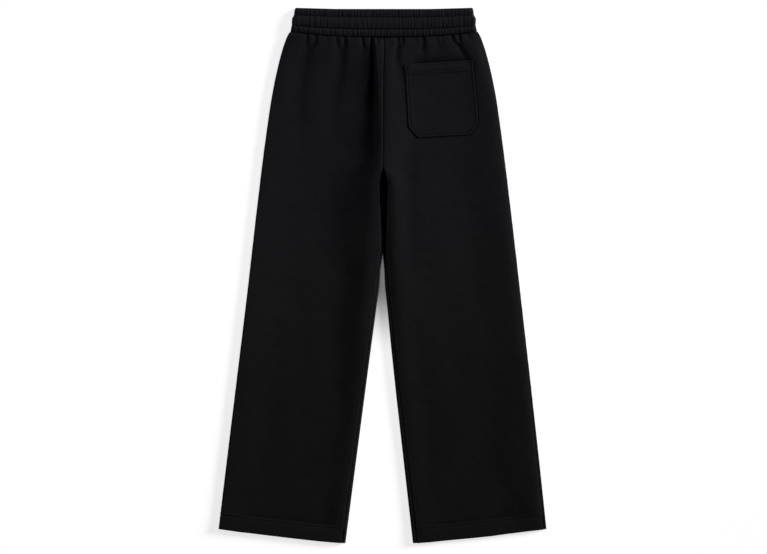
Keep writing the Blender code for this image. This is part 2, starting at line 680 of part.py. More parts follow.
def build_pocket():
    outer = []
    inner = []
    for down, wall, lift, cut in POCKET_LINES:
        share = min(down / POCKET_STRAIGHT, 1.0)
        width = mix(POCKET_MOUTH, POCKET_LOW, share) - 2 * POCKET_CORNER_X * cut
        outer_line = []
        inner_line = []
        for column in range(POCKET_COLUMNS + 1):
            across = (column / POCKET_COLUMNS - 0.5) * width + POCKET_LOW_SHIFT * share
            x = POCKET_MOUTH_X + across * math.cos(POCKET_TILT) + down * math.sin(POCKET_TILT)
            y = POCKET_MOUTH_Y + across * math.sin(POCKET_TILT) - down * math.cos(POCKET_TILT)
            middle = 1.0 - (2 * column / POCKET_COLUMNS - 1)**2
            low = seat_height(x, y) + POCKET_CLEARANCE + POCKET_LIFT * lift * middle
            inner_line.append(Vector((x, y, low)))
            outer_line.append([Vector((x, y, low + wall))])
        outer.append(outer_line)
        inner.append(inner_line)
    return build_wall("back_pocket", outer, inner, lambda row, column: True, True,
                      fleece_material("back_pocket", BLACK_FLEECE))


def build_sweatpants():
    clear_scene()
    build_back("back_left", -1)
    build_back("back_right", 1)
    build_front("front_left", -1)
    build_front("front_right", 1)
    build_waistband()
    build_pocket()


build_sweatpants()
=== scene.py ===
import math
import random

import bpy
import numpy as np
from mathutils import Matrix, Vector
from mathutils.bvhtree import BVHTree

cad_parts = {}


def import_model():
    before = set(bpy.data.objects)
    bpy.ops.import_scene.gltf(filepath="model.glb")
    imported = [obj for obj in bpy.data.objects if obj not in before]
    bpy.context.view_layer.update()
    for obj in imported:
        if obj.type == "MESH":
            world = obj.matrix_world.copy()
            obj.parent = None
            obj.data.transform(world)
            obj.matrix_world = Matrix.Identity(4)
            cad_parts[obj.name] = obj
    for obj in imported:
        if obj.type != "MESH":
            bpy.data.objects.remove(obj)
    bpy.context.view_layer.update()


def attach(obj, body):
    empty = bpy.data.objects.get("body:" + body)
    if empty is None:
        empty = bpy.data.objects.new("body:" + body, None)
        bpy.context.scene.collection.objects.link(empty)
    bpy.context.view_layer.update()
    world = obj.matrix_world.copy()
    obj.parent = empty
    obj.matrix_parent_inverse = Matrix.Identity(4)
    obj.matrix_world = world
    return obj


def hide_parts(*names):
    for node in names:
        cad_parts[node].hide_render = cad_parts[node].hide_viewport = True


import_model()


def smooth(share):
    share = np.clip(share, 0.0, 1.0)
    return share * share * (3.0 - 2.0 * share)


def mix(start, end, share):
    return start + (end - start) * share


def past(value, edge):
    # 0 up to a start, then softly up to 1; an edge is where it starts and over how much it rises
    start, soft = edge
    return smooth((value - start) / soft)


def before(value, edge):
    # 0 down to a start, then softly up to 1 below it
    start, soft = edge
    return smooth((start - value) / soft)


def bell(distance, wide):
    # 1 in the middle, falling off on both sides
    return np.exp(-(distance / wide)**2)


def inMetres(sizes):
    # a table, or a dictionary of tables, that is written in millimetres
    if isinstance(sizes, dict):
        return {name: inMetres(rows) for name, rows in sizes.items()}
    return tuple(tuple(round(size / 1000, 6) for size in row) for row in sizes)


def readTable(rows, at, column, rounded=True):
    # one column of a table read at any place along its first column, on a curve or straight lines
    rows = sorted(rows)
    places = np.array([row[0] for row in rows])
    values = np.array([row[column] for row in rows])
    if not rounded:
        return np.interp(at, places, values)
    steps = np.diff(values) / np.diff(places)
    index = np.clip(np.searchsorted(places, at, side="right") - 1, 0, len(steps) - 1)
    step = steps[index]
    before = np.where(index > 0, (step + steps[np.maximum(index - 1, 0)]) / 2, step)
    after = np.where(index < len(steps) - 1,
                     (step + steps[np.minimum(index + 1, len(steps) - 1)]) / 2, step)
    before = np.where(before * step <= 0, 0.0, before)
    after = np.where(after * step <= 0, 0.0, after)
    span = np.diff(places)[index]
    t = np.clip((at - places[index]) / span, 0.0, 1.0)
    return ((2 * t**3 - 3 * t**2 + 1) * values[index] + (t**3 - 2 * t**2 + t) * span * before
            + (3 * t**2 - 2 * t**3) * values[index + 1] + (t**3 - t**2) * span * after)


def foldRelief(folds, x, y, lean=1.0):
    # Each fold runs down the cloth. A row of it gives the height along the leg, the place
    # across, the half width on its left and on its right, and how far it stands up.
    # More lean makes the left sides wider.
    relief = np.zeros_like(x)
    for rows in folds.values():
        ends = [row[0] for row in rows]
        inside = (y >= min(ends)) & (y <= max(ends))
        along = y[inside]
        away = x[inside] - readTable(rows, along, 1)
        wide = np.where(away < 0, readTable(rows, along, 2) * lean, readTable(rows, along, 3))
        relief[inside] += readTable(rows, along, 4) * bell(away, wide)
    return relief


def unevenness(x, y, seed, length, height, waves=14, spread=(0.7, 1.6)):
    # soft irregular swells of about one length, the same on every run
    pick = random.Random(seed)
    total = np.zeros_like(x)
    for _ in range(waves):
        turn = pick.uniform(0.0, math.pi)
        size = length * pick.uniform(*spread)
        shift = pick.uniform(0.0, 2 * math.pi)
        total += np.sin((x * math.cos(turn) + y * math.sin(turn)) * 2 * math.pi / size + shift)
    return total * height / math.sqrt(waves / 2)


def gridNormals(points):
    # unit normals of a grid of points, rows by columns
    down = np.gradient(points, axis=0)
    over = np.gradient(points, axis=1)
    normals = np.cross(over, down)
    length = np.linalg.norm(normals, axis=2, keepdims=True)
    return normals / np.maximum(length, 1e-12)


def softened(height, times):
    for _ in range(times):
        padded = np.pad(height, 1, mode="edge")
        height = (padded[:-2, 1:-1] + padded[2:, 1:-1] + padded[1:-1, :-2] + padded[1:-1, 2:]) / 4
    return height


def creaseAmount(points, depth=0.0016, width=24, contrast=1.2):
    # 0 on open cloth to 1 at the bottom of a crease: how far a point lies under its surroundings
    height = points[:, :, 2]
    return np.clip((softened(height, width) - height) / depth, 0.0, 1.0)**contrast


def clothArea(points):
    # area of a grid of points
    down = np.diff(points, axis=0)[:, :-1]
    over = np.diff(points, axis=1)[:-1]
    return float(np.linalg.norm(np.cross(down, over), axis=2).sum())


def addPiece(name, vertices, faces, material, crease=None, sharpFrom=55):
    # edges that turn by more degrees than sharpFrom stay crisp
    used = np.zeros(len(vertices), dtype=bool)
    for face in faces:
        used[list(face)] = True
    renumber = np.cumsum(used) - 1
    mesh = bpy.data.meshes.new(name)
    mesh.from_pydata(vertices[used].tolist(), [], [[int(renumber[i]) for i in face] for face in faces])
    mesh.shade_smooth()
    mesh.set_sharp_from_angle(angle=math.radians(sharpFrom))
    # the crease attribute carries painted shade into the material
    if crease is not None:
        depths = mesh.attributes.new("crease", "FLOAT", "POINT")
        depths.data.foreach_set("value", crease[used])
    mesh.materials.append(material)
    piece = bpy.data.objects.new(name, mesh)
    bpy.context.collection.objects.link(piece)
    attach(piece, "root")
    return piece


def coarsePicks(count, step):
    # every step-th row or column of the fine face, with both ends
    picks = list(range(0, count - 1, step))
    if count - 1 - picks[-1] < step / 2 and len(picks) > 1:
        picks.pop()
    return picks + [count - 1]


def buildWall(name, outer, inner, rowPicks, columnPicks, exists, flip, material, slot,
              crease=None, tube=False):
    # A closed wall: a fine outer face, a plain inner face whose points face picked outer
    # ones, and rims round the border. exists(row, column) is asked of the coarse cells.
    # The last column of a tube is its first one again.
    rows, columns = outer.shape[:2]
    outerIds = np.arange(rows * columns).reshape(rows, columns)
    coarse = inner[np.ix_(rowPicks, columnPicks)]
    innerIds = rows * columns + np.arange(len(rowPicks) * len(columnPicks))
    innerIds = innerIds.reshape(len(rowPicks), len(columnPicks))
    if tube:
        outerIds[:, -1] = outerIds[:, 0]
        innerIds[:, -1] = innerIds[:, 0]
    vertices = np.concatenate([outer.reshape(-1, 3), coarse.reshape(-1, 3)])
    depths = np.zeros(len(vertices))
    if crease is not None:
        depths[:rows * columns] = crease.reshape(-1)
    faces = []
    cellRows = len(rowPicks) - 1
    cellColumns = len(columnPicks) - 1

    def there(row, column):
        if tube:
            column %= cellColumns
        return 0 <= row < cellRows and 0 <= column < cellColumns and exists(row, column)

    for row in range(cellRows):
        top, low = rowPicks[row], rowPicks[row + 1]
        for column in range(cellColumns):
            if not there(row, column):
                continue
            left, right = columnPicks[column], columnPicks[column + 1]
            patch = outerIds[top:low + 1, left:right + 1]
            quads = np.stack([patch[:-1, :-1], patch[:-1, 1:], patch[1:, 1:], patch[1:, :-1]], axis=-1)
            faces.extend(quads.reshape(-1, 4).tolist())
            a, b = innerIds[row, column:column + 2]
            c, d = innerIds[row + 1, column:column + 2]
            faces.append([a, c, d, b])
            if not there(row - 1, column):
                faces.append(list(outerIds[top, left:right + 1][::-1]) + [a, b])
            if not there(row + 1, column):
                faces.append(list(outerIds[low, left:right + 1]) + [d, c])
            if not there(row, column - 1):
                faces.append(list(outerIds[top:low + 1, left]) + [c, a])
            if not there(row, column + 1):
                faces.append(list(outerIds[top:low + 1, right][::-1]) + [b, d])
    if flip:
        faces = [face[::-1] for face in faces]
    return addPiece(name, vertices, faces, material, depths)


def everywhere(row, column):
    return True


def topOf(piece):
    # the piece's faces, to drop stitches and other cloth on
    mesh = piece.data
    return BVHTree.FromPolygons([vertex.co for vertex in mesh.vertices],
                                [tuple(face.vertices) for face in mesh.polygons])


def heightOn(surface, x, y, above=0.1):
    # looked for from above; None where there is no cloth
    hit = surface.ray_cast(Vector((x, y, above)), Vector((0, 0, -1)))
    return hit[0].z if hit[0] else None


finishes = {
    "fleece": (0.0158, 0.0156, 0.0187),       # black, with a painted violet tint at the seat for the violet light near the waist
    "lowFleece": (0.0158, 0.0159, 0.0166),    # more neutral down the legs
    "hueChange": (0.42, -0.16),               # between these heights along the leg
    "waistband": (0.0190, 0.0186, 0.0222),
    "belowKneeShade": 0.89,                         # painted shade: the cloth is darker under the knee, for light that falls off towards the hems
    "shadeFadeHeights": (-0.02, -0.26),
    "roughness": 0.95,
    "shine": 0.04,                            # what little gloss brushed cotton keeps
    "sheen": 0.06,
    "sheenTint": (0.80, 0.78, 0.95, 1.0),
    "sheenRoughness": 0.5,
    "knitPitch": 0.0011,                      # one stitch of the knit face
    "knitDepth": 0.00022,
    "knitStrength": 0.35,
    "looseLoops": 0.55,                       # uneven loops against straight rows of them
    "napSize": 0.006,                         # soft patches where the nap lies differently
    "napSpread": (0.25, 0.75),
    "napContrast": 0.14,
    "paintedShadeDark": 0.97,                       # how dark the painted shade goes where the crease attribute is full
    "thread": (0.0110, 0.0110, 0.0125),
    "threadRoughness": 0.7,
    "threadShine": 0.12,
    "plyScale": 1800.0,                       # how fine the light and dark of its ply is
    "plyTones": (0.7, 1.3),
}


def feed(tree, node, inputs):
    # each input is given a value, or the output that runs into it
    for name, value in inputs.items():
        if isinstance(value, bpy.types.NodeSocket):
            tree.links.new(value, node.inputs[name])
        else:
            node.inputs[name].default_value = value


def addNode(tree, kind, inputs=None, **settings):
    node = tree.nodes.new(kind)
    for name, value in settings.items():
        setattr(node, name, value)
    feed(tree, node, inputs or {})
    return node


def change(tree, value, start, end, least, most, curve="SMOOTHSTEP"):
    # least up to the start, most from the end on
    inputs = {"Value": value, "From Min": start, "From Max": end, "To Min": least, "To Max": most}
    return addNode(tree, "ShaderNodeMapRange", inputs, interpolation_type=curve).outputs["Result"]


def product(tree, first, second):
    node = addNode(tree, "ShaderNodeMath", {0: first, 1: second}, operation="MULTIPLY")
    return node.outputs["Value"]


def dyed(tree, colour, tone):
    # a colour, lighter or darker
    node = addNode(tree, "ShaderNodeVectorMath", {0: colour, "Scale": tone}, operation="SCALE")
    return node.outputs["Vector"]


def newMaterial(name):
    # a material, its nodes and its surface
    material = bpy.data.materials.new(name)
    material.use_nodes = True
    return material, material.node_tree, material.node_tree.nodes["Principled BSDF"]


def fleeceMaterial(name, colour, lowColour):
    material, tree, cloth = newMaterial(name)
    place = addNode(tree, "ShaderNodeTexCoord").outputs["Object"]
    feed(tree, cloth, {"Metallic": 0.0, "Roughness": finishes["roughness"],
                       "Sheen Roughness": finishes["sheenRoughness"],
                       "Sheen Tint": finishes["sheenTint"]})

    # the knit face: rows of small loops along the leg
    rows = addNode(tree, "ShaderNodeTexWave",
                   {"Vector": place, "Scale": 2 * math.pi / finishes["knitPitch"] / 20,
                    "Distortion": 1.2, "Detail": 1.0, "Detail Scale": 1.5},
                   wave_type="BANDS", bands_direction="X")
    loops = addNode(tree, "ShaderNodeTexNoise",
                    {"Vector": place, "Scale": 0.8 / finishes["knitPitch"],
                     "Detail": 3.0, "Roughness": 0.65})
    face = addNode(tree, "ShaderNodeMix", {0: finishes["looseLoops"], 2: rows.outputs["Fac"],
                                           3: loops.outputs["Fac"]}, data_type="FLOAT")
    bump = addNode(tree, "ShaderNodeBump", {"Strength": finishes["knitStrength"],
                                            "Distance": finishes["knitDepth"],
                                            "Height": face.outputs[0]})

    # patches of nap, a little lighter and darker
    nap = addNode(tree, "ShaderNodeTexNoise",
                  {"Vector": place, "Scale": 1.0 / finishes["napSize"],
                   "Detail": 4.0, "Roughness": 0.6})
    patches = change(tree, nap.outputs["Fac"], *finishes["napSpread"],
                     1.0 - finishes["napContrast"], 1.0 + finishes["napContrast"], "LINEAR")

    # painted shade: colour, gloss and sheen darken where the crease attribute marks creases and other
    # shaded places
    crease = addNode(tree, "ShaderNodeAttribute", attribute_name="crease")
    paintedShadeFactor = addNode(tree, "ShaderNodeMath",
                       {0: crease.outputs["Fac"], 1: -finishes["paintedShadeDark"], 2: 1.0},
                       operation="MULTIPLY_ADD").outputs["Value"]
    shine = product(tree, paintedShadeFactor, finishes["shine"])
    sheen = product(tree, paintedShadeFactor, finishes["sheen"])
    tone = product(tree, patches, paintedShadeFactor)

    # how hue and tone change along the leg; the darker tone under the knee is painted shade
    along = addNode(tree, "ShaderNodeSeparateXYZ", {"Vector": place}).outputs["Y"]
    hueHigh, hueLow = finishes["hueChange"]
    kneeHigh, kneeLow = finishes["shadeFadeHeights"]
    # painted tint: violet on the seat, where the violet light near the waist falls
    hue = addNode(tree, "ShaderNodeMix",
                  {0: change(tree, along, hueLow, hueHigh, 0.0, 1.0), 4: lowColour, 5: colour},
                  data_type="VECTOR").outputs[1]
    knee = product(tree, tone, change(tree, along, kneeLow, kneeHigh, finishes["belowKneeShade"], 1.0))
    feed(tree, cloth, {"Base Color": dyed(tree, hue, knee), "Normal": bump.outputs["Normal"],
                       "Specular IOR Level": shine, "Sheen Weight": sheen})
    return material


def threadMaterial(name, colour):
    material, tree, thread = newMaterial(name)
    place = addNode(tree, "ShaderNodeTexCoord").outputs["Object"]
    ply = addNode(tree, "ShaderNodeTexNoise", {"Vector": place, "Scale": finishes["plyScale"]})
    tone = change(tree, ply.outputs["Fac"], 0.0, 1.0, *finishes["plyTones"], "LINEAR")
    feed(tree, thread, {"Roughness": finishes["threadRoughness"],
                        "Specular IOR Level": finishes["threadShine"],
                        "Base Color": dyed(tree, colour, tone)})
    return material


fleece = fleeceMaterial("blackFleece", finishes["fleece"], finishes["lowFleece"])
bandFleece = fleeceMaterial("blackWaistbandFleece", finishes["waistband"], finishes["waistband"])
blackThread = threadMaterial("blackThread", finishes["thread"])
print("finishes made")


# the pocket's plan comes before the legs, because the seat dips towards its mouth
pocket = {
    "mouthX": 0.1119,         # middle of the mouth
    "mouthY": 0.4269,
    "tilt": math.radians(3.6),
    "mouth": 0.1370,
    "low": 0.1405,            # width where the corners are cut off
    "lowShift": 0.0014,
    "height": 0.1496,
    "cornerX": 0.0185,
    "cornerY": 0.0225,
    "cornerRound": 0.0040,
    "hem": 0.0230,
    "cloth": 0.0015,
    "turned": 0.0020,         # the hem's two layers, stitched flat
    "clearance": 0.0004,
    "lift": 0.0016,           # how far the mouth stands off the seat
    "flare": 0.0016,          # the hem's left end reaches out past the edge
    "bed": 0.0010,            # how far it presses into the seat
    "bedReach": 0.0022,       # outside its edge
    "bedSoft": 0.0036,
    "mouthDip": 0.0018,       # the seat dips towards the mouth, deepest over its middle
    "mouthDipWide": 0.0090,
    "mouthDipEnds": 0.030,
    "mouthEnds": 0.006,       # how softly dip and painted dark fade at the mouth's ends
    "leftEnd": (0.010, 0.012),       # how far they stay off its left end, and how softly they begin
    "underHem": (0.012, 0.004),      # how far they run down behind the hem, and how softly they end
    "mouthLine": 0.0022,      # how far the painted black of the mouth and the painted shade above it reach
    "mouthDark": 0.0100,
    "mouthTones": (0.97, 0.42),      # how dark the painted line and shade are
    "shadeShift": 0.006,      # the painted shade lies further left
    "shadeEnds": 0.034,
    "mouthRound": 0.0034,
    "mouthLip": 0.0004,
    "mouthClear": (0.001, 0.003),    # the painted shades of the sewn edges begin below this, and how softly
    "crevice": 0.0010,        # the painted dark line on the seat round the sewn edges
    "creviceTone": 0.85,
    "creviceLeft": (0.030, 0.060),   # painted on the side that faces left, away from the light
    "liftedTone": 0.85,       # and on the right where the pocket's top stands off the seat
    "liftedDown": 0.060,
    "liftedWide": 0.8,
    "outerShade": 0.14,       # a soft painted shade on the seat all round
    "outerShadeWide": 0.0050,
    "topRound": (0.0040, 0.0022),    # how round the mouth's corners are, left and right
    "edgeRidge": 0.0002,      # the turned-in edge outside its stitch line
    "edgeRound": 0.0022,
    "edgeDark": 0.0011,       # how far the painted dark of the crevice along the sewn edge reaches
    "stitchInset": 0.0056,
    "stitchGroove": 0.0008,
    "stitchGrooveWide": 0.0008,
    # painted shade in the stitch grooves
    "stitchDark": 0.30,
    "stitchStart": 0.004,
    "rows": 184,
    "columns": 154,
    "evenColumns": 0.6,       # 0 crowds the columns at the sides, 1 spreads them evenly
    "bridging": 40,           # how far the cloth spans the seat's small folds, in points
    "hemStep": (0.0012, 0.0016),     # where the hem's two layers end under their line
    "sewnFrom": (0.012, 0.012),      # below this the edges are stitched down
    "ridgeWide": (0.0105, 0.006),
    "thinnest": 0.0007,
    "liftedPart": 0.032,      # how far down the mouth's lift is felt
    "swell": (0.070, 0.00010),       # length and height
    "ripple": (0.022, 0.00003),
    "edgeTones": (0.90, 0.15, 0.70),       # how dark the painted shade on the left, right and low edges is
    "lowEdgeWide": 0.004,
    "cut": (0.1640, 0.1960),  # with the hem and the turned-in edges
}


def pocketPlan(down, across):
    # plan place of a point a way down from the mouth and across from the middle line
    turn = pocket["tilt"]
    x = pocket["mouthX"] + across * math.cos(turn) + down * math.sin(turn)
    y = pocket["mouthY"] + across * math.sin(turn) - down * math.cos(turn)
    return x, y


def pocketSides(down):
    # left and right edge of the pocket, a way down from the mouth
    straight = pocket["height"] - pocket["cornerY"]
    share = np.minimum(down / straight, 1.0)
    half = mix(pocket["mouth"], pocket["low"], share) / 2
    cut = np.clip((down - straight) / pocket["cornerY"], 0.0, 1.0)
    soft = pocket["cornerRound"] / pocket["cornerY"]
    cut = np.sqrt(cut**2 + soft**2 * 0.25) - soft * 0.5
    shift = pocket["lowShift"] * share
    flare = pocket["flare"] * (1.0 - smooth(down / pocket["hem"]))
    half = half - pocket["cornerX"] * cut
    rounds = [size * (1.0 - np.sqrt(1.0 - np.clip(1.0 - down / size, 0.0, 1.0)**2))
              for size in pocket["topRound"]]
    return shift - half - flare + rounds[0], shift + half - rounds[1]


def beforePocket(x, y):
    # a point of the seat seen from the pocket: place across, how far below the mouth's line, and
    # how far outside the outline
    turn = pocket["tilt"]
    fromX, fromY = x - pocket["mouthX"], y - pocket["mouthY"]
    across = fromX * math.cos(turn) + fromY * math.sin(turn)
    down = fromX * math.sin(turn) - fromY * math.cos(turn)
    left, right = pocketSides(np.clip(down, 0.0, pocket["height"]))
    beside = np.maximum(left - across, across - right)
    outside = np.maximum(np.maximum(beside, -down), down - pocket["height"])
    return across, down, outside


def mouthShare(across, down, wide):
    # 1 at the mouth's line to 0 above it, strongest over its middle
    half = pocket["mouth"] / 2
    leftGap, leftSoft = pocket["leftEnd"]
    ends = smooth((half - np.abs(across)) / pocket["mouthEnds"])
    along = ends * smooth((half - leftGap + across) / leftSoft)
    return along * bell(np.maximum(-down, 0.0), wide) * before(down, pocket["underHem"])


def pressedSeat(x, y):
    # how far the seat is pressed in under the pocket and dips at its mouth
    across, down, outside = beforePocket(x, y)
    middle = smooth((pocket["mouth"] / 2 - np.abs(across)) / pocket["mouthDipEnds"])
    return (pocket["bed"] * smooth((pocket["bedReach"] - outside) / pocket["bedSoft"])
            + pocket["mouthDip"] * middle * mouthShare(across, down, pocket["mouthDipWide"]))


def pocketShade(x, y):
    # painted shade: dark along the mouth, and in the crevice round the sewn edges where it faces left
    across, down, outside = beforePocket(x, y)
    lineTone, shadeTone = pocket["mouthTones"]
    leftAt, leftSoft = pocket["creviceLeft"]
    middle = smooth((pocket["mouth"] / 2 - np.abs(across + pocket["shadeShift"])) / pocket["shadeEnds"])
    mouth = np.maximum(lineTone * mouthShare(across, down, pocket["mouthLine"]),
                       shadeTone * middle * mouthShare(across, down, pocket["mouthDark"]))
    leftSide = smooth(0.5 - (across - leftAt) / leftSoft)
    lifted = pocket["liftedTone"] * smooth(1.0 - down / pocket["liftedDown"])
    below = past(down, pocket["mouthClear"])
    wide = pocket["crevice"] * (1.0 + pocket["liftedWide"] * lifted * (1.0 - leftSide))
    crevice = bell(outside, wide) * below
    around = pocket["outerShade"] * bell(outside, pocket["outerShadeWide"]) * below
    sewn = pocket["creviceTone"] * crevice * np.maximum(leftSide, lifted)
    return np.maximum(mouth, np.maximum(sewn, around))


legs = {
    "crotchY": 0.2110,
    "joinY": 0.2180,          # above this the two backs meet on the centre seam
    "openY": 0.2065,          # below this the front goes round the inner fold
    "edgeZone": 0.016,        # how far in from an edge the fold's own points reach
    "outerRise": 0.085,       # how far in from the outer edge its height is felt
    "innerRise": (0.045, 0.064),     # left leg, right leg
    "leftFoldReach": 0.0024,  # the left leg's outer fold is pressed sharper
    "seatBow": 2.7,           # how the rows above the crotch dip towards the centre seam
    "hemBow": 1.25,           # and the rows at the hem
    "hemBowFrom": -0.36,
    "hemBowOver": 0.14,
    "layerGap": 0.0003,
    "closeUp": 0.0002,        # the legs touch below the crotch
    "touchEndY": 0.0450,
    "touchSoft": (0.010, 0.005),     # how softly that ends and begins
    "seamValley": 0.0009,     # how deep a seam draws the cloth in
    "outerPull": 0.75,        # less on the outer seams
    "centreLeftPull": 0.5,    # on the left panel's side of the centre seam
    "inseamPull": 0.55,
    "seamValleyWide": 0.0011,
    "seamRoll": 0.00018,      # the seam allowance's roll beside it
    "seamRollAt": 0.0036,
    "seamRollWide": 0.0022,
    "puckers": ((0.021, 0.30), (0.009, 0.22)),       # of the roll: length along the seam and share
    "waistDip": 0.0010,       # how far the cloth dips into the waist seam
    "waistDipWide": 0.0017,
    "hemStitch": (0.0283, 0.0349),   # needle lines above the hem's edge
    "hemGroove": (0.0007, 0.0001),   # deeper along the lower line
    "hemGrooveWide": 0.0011,
    "hemRidge": 0.0003,
    "hemRidgeWide": 0.0018,
    "swell": (0.110, 0.00017),       # length and height
    "ripple": (0.034, 0.00006),
    "thinnest": 0.0006,       # the wall that is left under a deep gather
    "grooveSoft": 0.0022,     # how softly the painted shade between the legs ends at its rim
    "grooveFrom": (0.216, 0.008),    # where it begins, and how softly
    "grooveTo": (0.010, 0.030),
    "waistPuff": 0.0012,      # how far the cloth puffs up under the waist seam
    "puffFrom": 0.016,
    "puffTo": 0.060,
    "gatherDepth": 1.05,
    "gatherLean": 1.9,        # a gather's left side falls more gently than its right
    "gatherShift": 0.0020,
    "footDepth": 0.0030,      # painted shade at the foot of a large fold: how deep the foot lies where the shade is darkest
    "footShade": 0.95,
    "footReach": 160,         # how wide its surroundings are, in points
    "footEdge": (0.006, 0.012),      # how far it stays off the panel's edges, and how softly
    "offTable": (0.0004, 0.0010),    # from this height up the front's seams are drawn in, how softly
    "edgePoints": 17,
    "topPoints": 122,
    "wrapPoints": 15,
    "underPoints": 5,
    "insideStep": 4,          # the wall's inside has one point for this many outside
    "backCut": (0.345, 1.035),       # one back panel's flat width and length
    "frontCut": (0.335, 1.030),
}

# side outline in millimetres: height along the leg, left edge, right edge
outline = inMetres((
    (489, -184.5, 189.2), (479, -190.5, 195.2), (471, -194, 198.6), (431, -206.1, 210.9),
    (371, -219.3, 224.2), (271, -234.5, 239), (151, -249.5, 254), (-45, -272.1, 276.7),
    (-237, -295.5, 298.5), (-429, -318.9, 319.7), (-507.2, -328.2, 327.8),
))

# centre seam down to the crotch, then the inner edges: height, left, right, in millimetres
innerOutline = inMetres((
    (477, 2.9, 2.9), (435, 2.7, 2.7), (415, 1.6, 1.6), (370, 1, 1), (300, 1, 1), (211, 0.7, 0.7),
    (45, 0.2, 0.2), (11, -4.7, 3.3), (-21, -6.7, 4.7), (-69, -13.1, 9.8), (-141, -22.7, 16.6),
    (-237, -35.4, 26.7), (-429, -60.6, 48.4), (-535.5, -74.4, 60.5),
))

# rows down the leg: where each meets the outer and the inner edge, the wall, and the height
# of the top face at the outer fold, mid panel and the centre seam or inner fold, in millimetres
sections = inMetres((
    (487.6, 476.4, 3.6, 9.8, 10.4, 10.6), (481.5, 468.7, 3.2, 9.5, 10, 10.3),
    (474, 460, 2.6, 9, 9.3, 9.8), (462, 448, 2, 8.6, 8.6, 9.4), (446, 433, 2, 8.4, 7.9, 9.1),
    (422, 412, 2, 8.2, 7.3, 8.9), (395, 388, 2, 8.2, 6.8, 8.6), (362, 358, 2, 8.1, 6.5, 8.5),
    (322, 320, 2, 8, 6.2, 8.4), (278, 278, 2, 8, 6, 8.6), (218, 218, 2, 8, 5.7, 9.2),
    (211, 211, 2, 8, 5.7, 9.6), (202, 202, 2, 8, 5.6, 10.2), (183, 183, 2, 8, 5.5, 10.5),
    (145, 145, 2, 8, 5.4, 10.3), (95, 95, 2, 8, 5.3, 9.4), (45, 45, 2, 8, 5.2, 8.6),
    (8, 8, 2, 8, 5.2, 8.3), (-48, -50, 2, 7.9, 5.2, 8), (-120, -122, 2, 7.8, 5.2, 7.8),
    (-226, -234, 2, 7.7, 5.1, 7.7), (-370, -390, 2, 7.6, 5.1, 7.6), (-471.5, -500, 2, 7.6, 5.1, 7.6),
    (-479, -507.5, 3.1, 7.7, 6.8, 7.7), (-505, -533.3, 3.1, 8.6, 8.2, 8.6),
    (-506.6, -534.9, 2.8, 8, 7.6, 8), (-507.2, -535.5, 2, 7, 6.4, 7),
))

# how far in from the edge each seam shows on top, less than 0 where it lies under the edge:
# height, outer left, outer right, inner, in millimetres
seamInsets = inMetres((
    (489, -1.5, 1.6, 0), (211, -1.5, 1.6, 1.6), (206.5, -1.5, 1.6, 2.6), (202, -1.5, 1.6, 3.6),
    (193, -1.5, 1.6, 4.6), (183, -1.5, 1.6, 5.2), (145, -1.5, 1.6, 5), (45, -1.5, 1.6, 4.2),
    (-50, -1.5, 1.7, 5.2), (-120, -1.5, 1.9, 5.9), (-170, -1.5, 2.3, 6.3), (-226, -1.5, 2.9, 6.7),
    (-290, -1.5, 3.7, 7), (-370, -1.5, 4.8, 7.3), (-535.5, -1.5, 5.6, 7.8),
))

# how far the inner fold reaches in across the leg: tight at the crotch, wide where the groove
# between the legs gapes, round further down. Height, left leg, right leg, in millimetres.
innerReach = inMetres((
    (218, 0.8, 1), (212, 1, 1.4), (208, 3.2, 4), (204, 4.6, 5.6), (192, 6.6, 8.4), (182, 7.2, 9.4),
    (150, 6.6, 9), (105, 3.8, 7.8), (53, 2.2, 6.2), (20, 2.4, 5), (-20, 3, 4.4), (-200, 3.8, 3.9),
    (-535.5, 3.8, 3.9),
))

# The largest folds lift or press the whole wall. In each row: height along the leg, place
# across, half width to the left, half width to the right, how far it stands up, in millimetres.
centreFolds = inMetres({
    "ridge by the centre seam": (
        (479, -18, 3, 10, 0), (462, -14.5, 7, 20, 1.8), (431, -11.5, 11, 34, 3),
        (391, -7.5, 14, 44, 3.4), (351, -5.5, 19, 52, 3.6), (311, -3.5, 30, 56, 3.8),
        (271, -3, 35, 54, 4), (231, -7, 46, 48, 4.2), (211, -10, 48, 46, 4.2), (190, -14, 48, 46, 0),
        (170, -18, 40, 40, 0),
    ),
    "right side of the seat lies higher": (
        (479, -18, 3, 150, 0), (462, -14.5, 7, 160, 1.6), (431, -11.5, 11, 170, 2.8),
        (391, -7.5, 14, 180, 3.4), (351, -5.5, 19, 190, 3.8), (311, -3.5, 30, 200, 4),
        (271, -3, 35, 200, 4.2), (231, -7, 46, 180, 4.2), (211, -10, 48, 160, 4.2),
        (190, -14, 40, 150, 0), (170, -18, 40, 150, 0),
    ),
    "broad rise to the centre": (
        (479, -18, 30, 150, 0), (431, -11.5, 40, 160, 0.6), (351, -5.5, 50, 180, 1.4),
        (271, -3, 56, 190, 2.4), (211, -10, 60, 160, 2.8), (190, -14, 60, 150, 0),
        (170, -18, 60, 150, 0),
    ),
    "crease by the centre seam": (
        (480, -21.8, 2, 2, -0.8), (472, -21.8, 2.6, 2.8, -4.4), (431, -20.8, 4.2, 4.8, -4.6),
        (391, -20.2, 8, 6.6, -4.4), (351, -20.6, 15, 8, -4.4), (311, -21, 20, 10, -4.6),
        (271, -22, 23, 12, -4.4), (231, -26, 25, 13, -3.8), (211, -29.5, 26, 14, -2.4),
        (185, -34, 27, 15, 0),
    ),
})
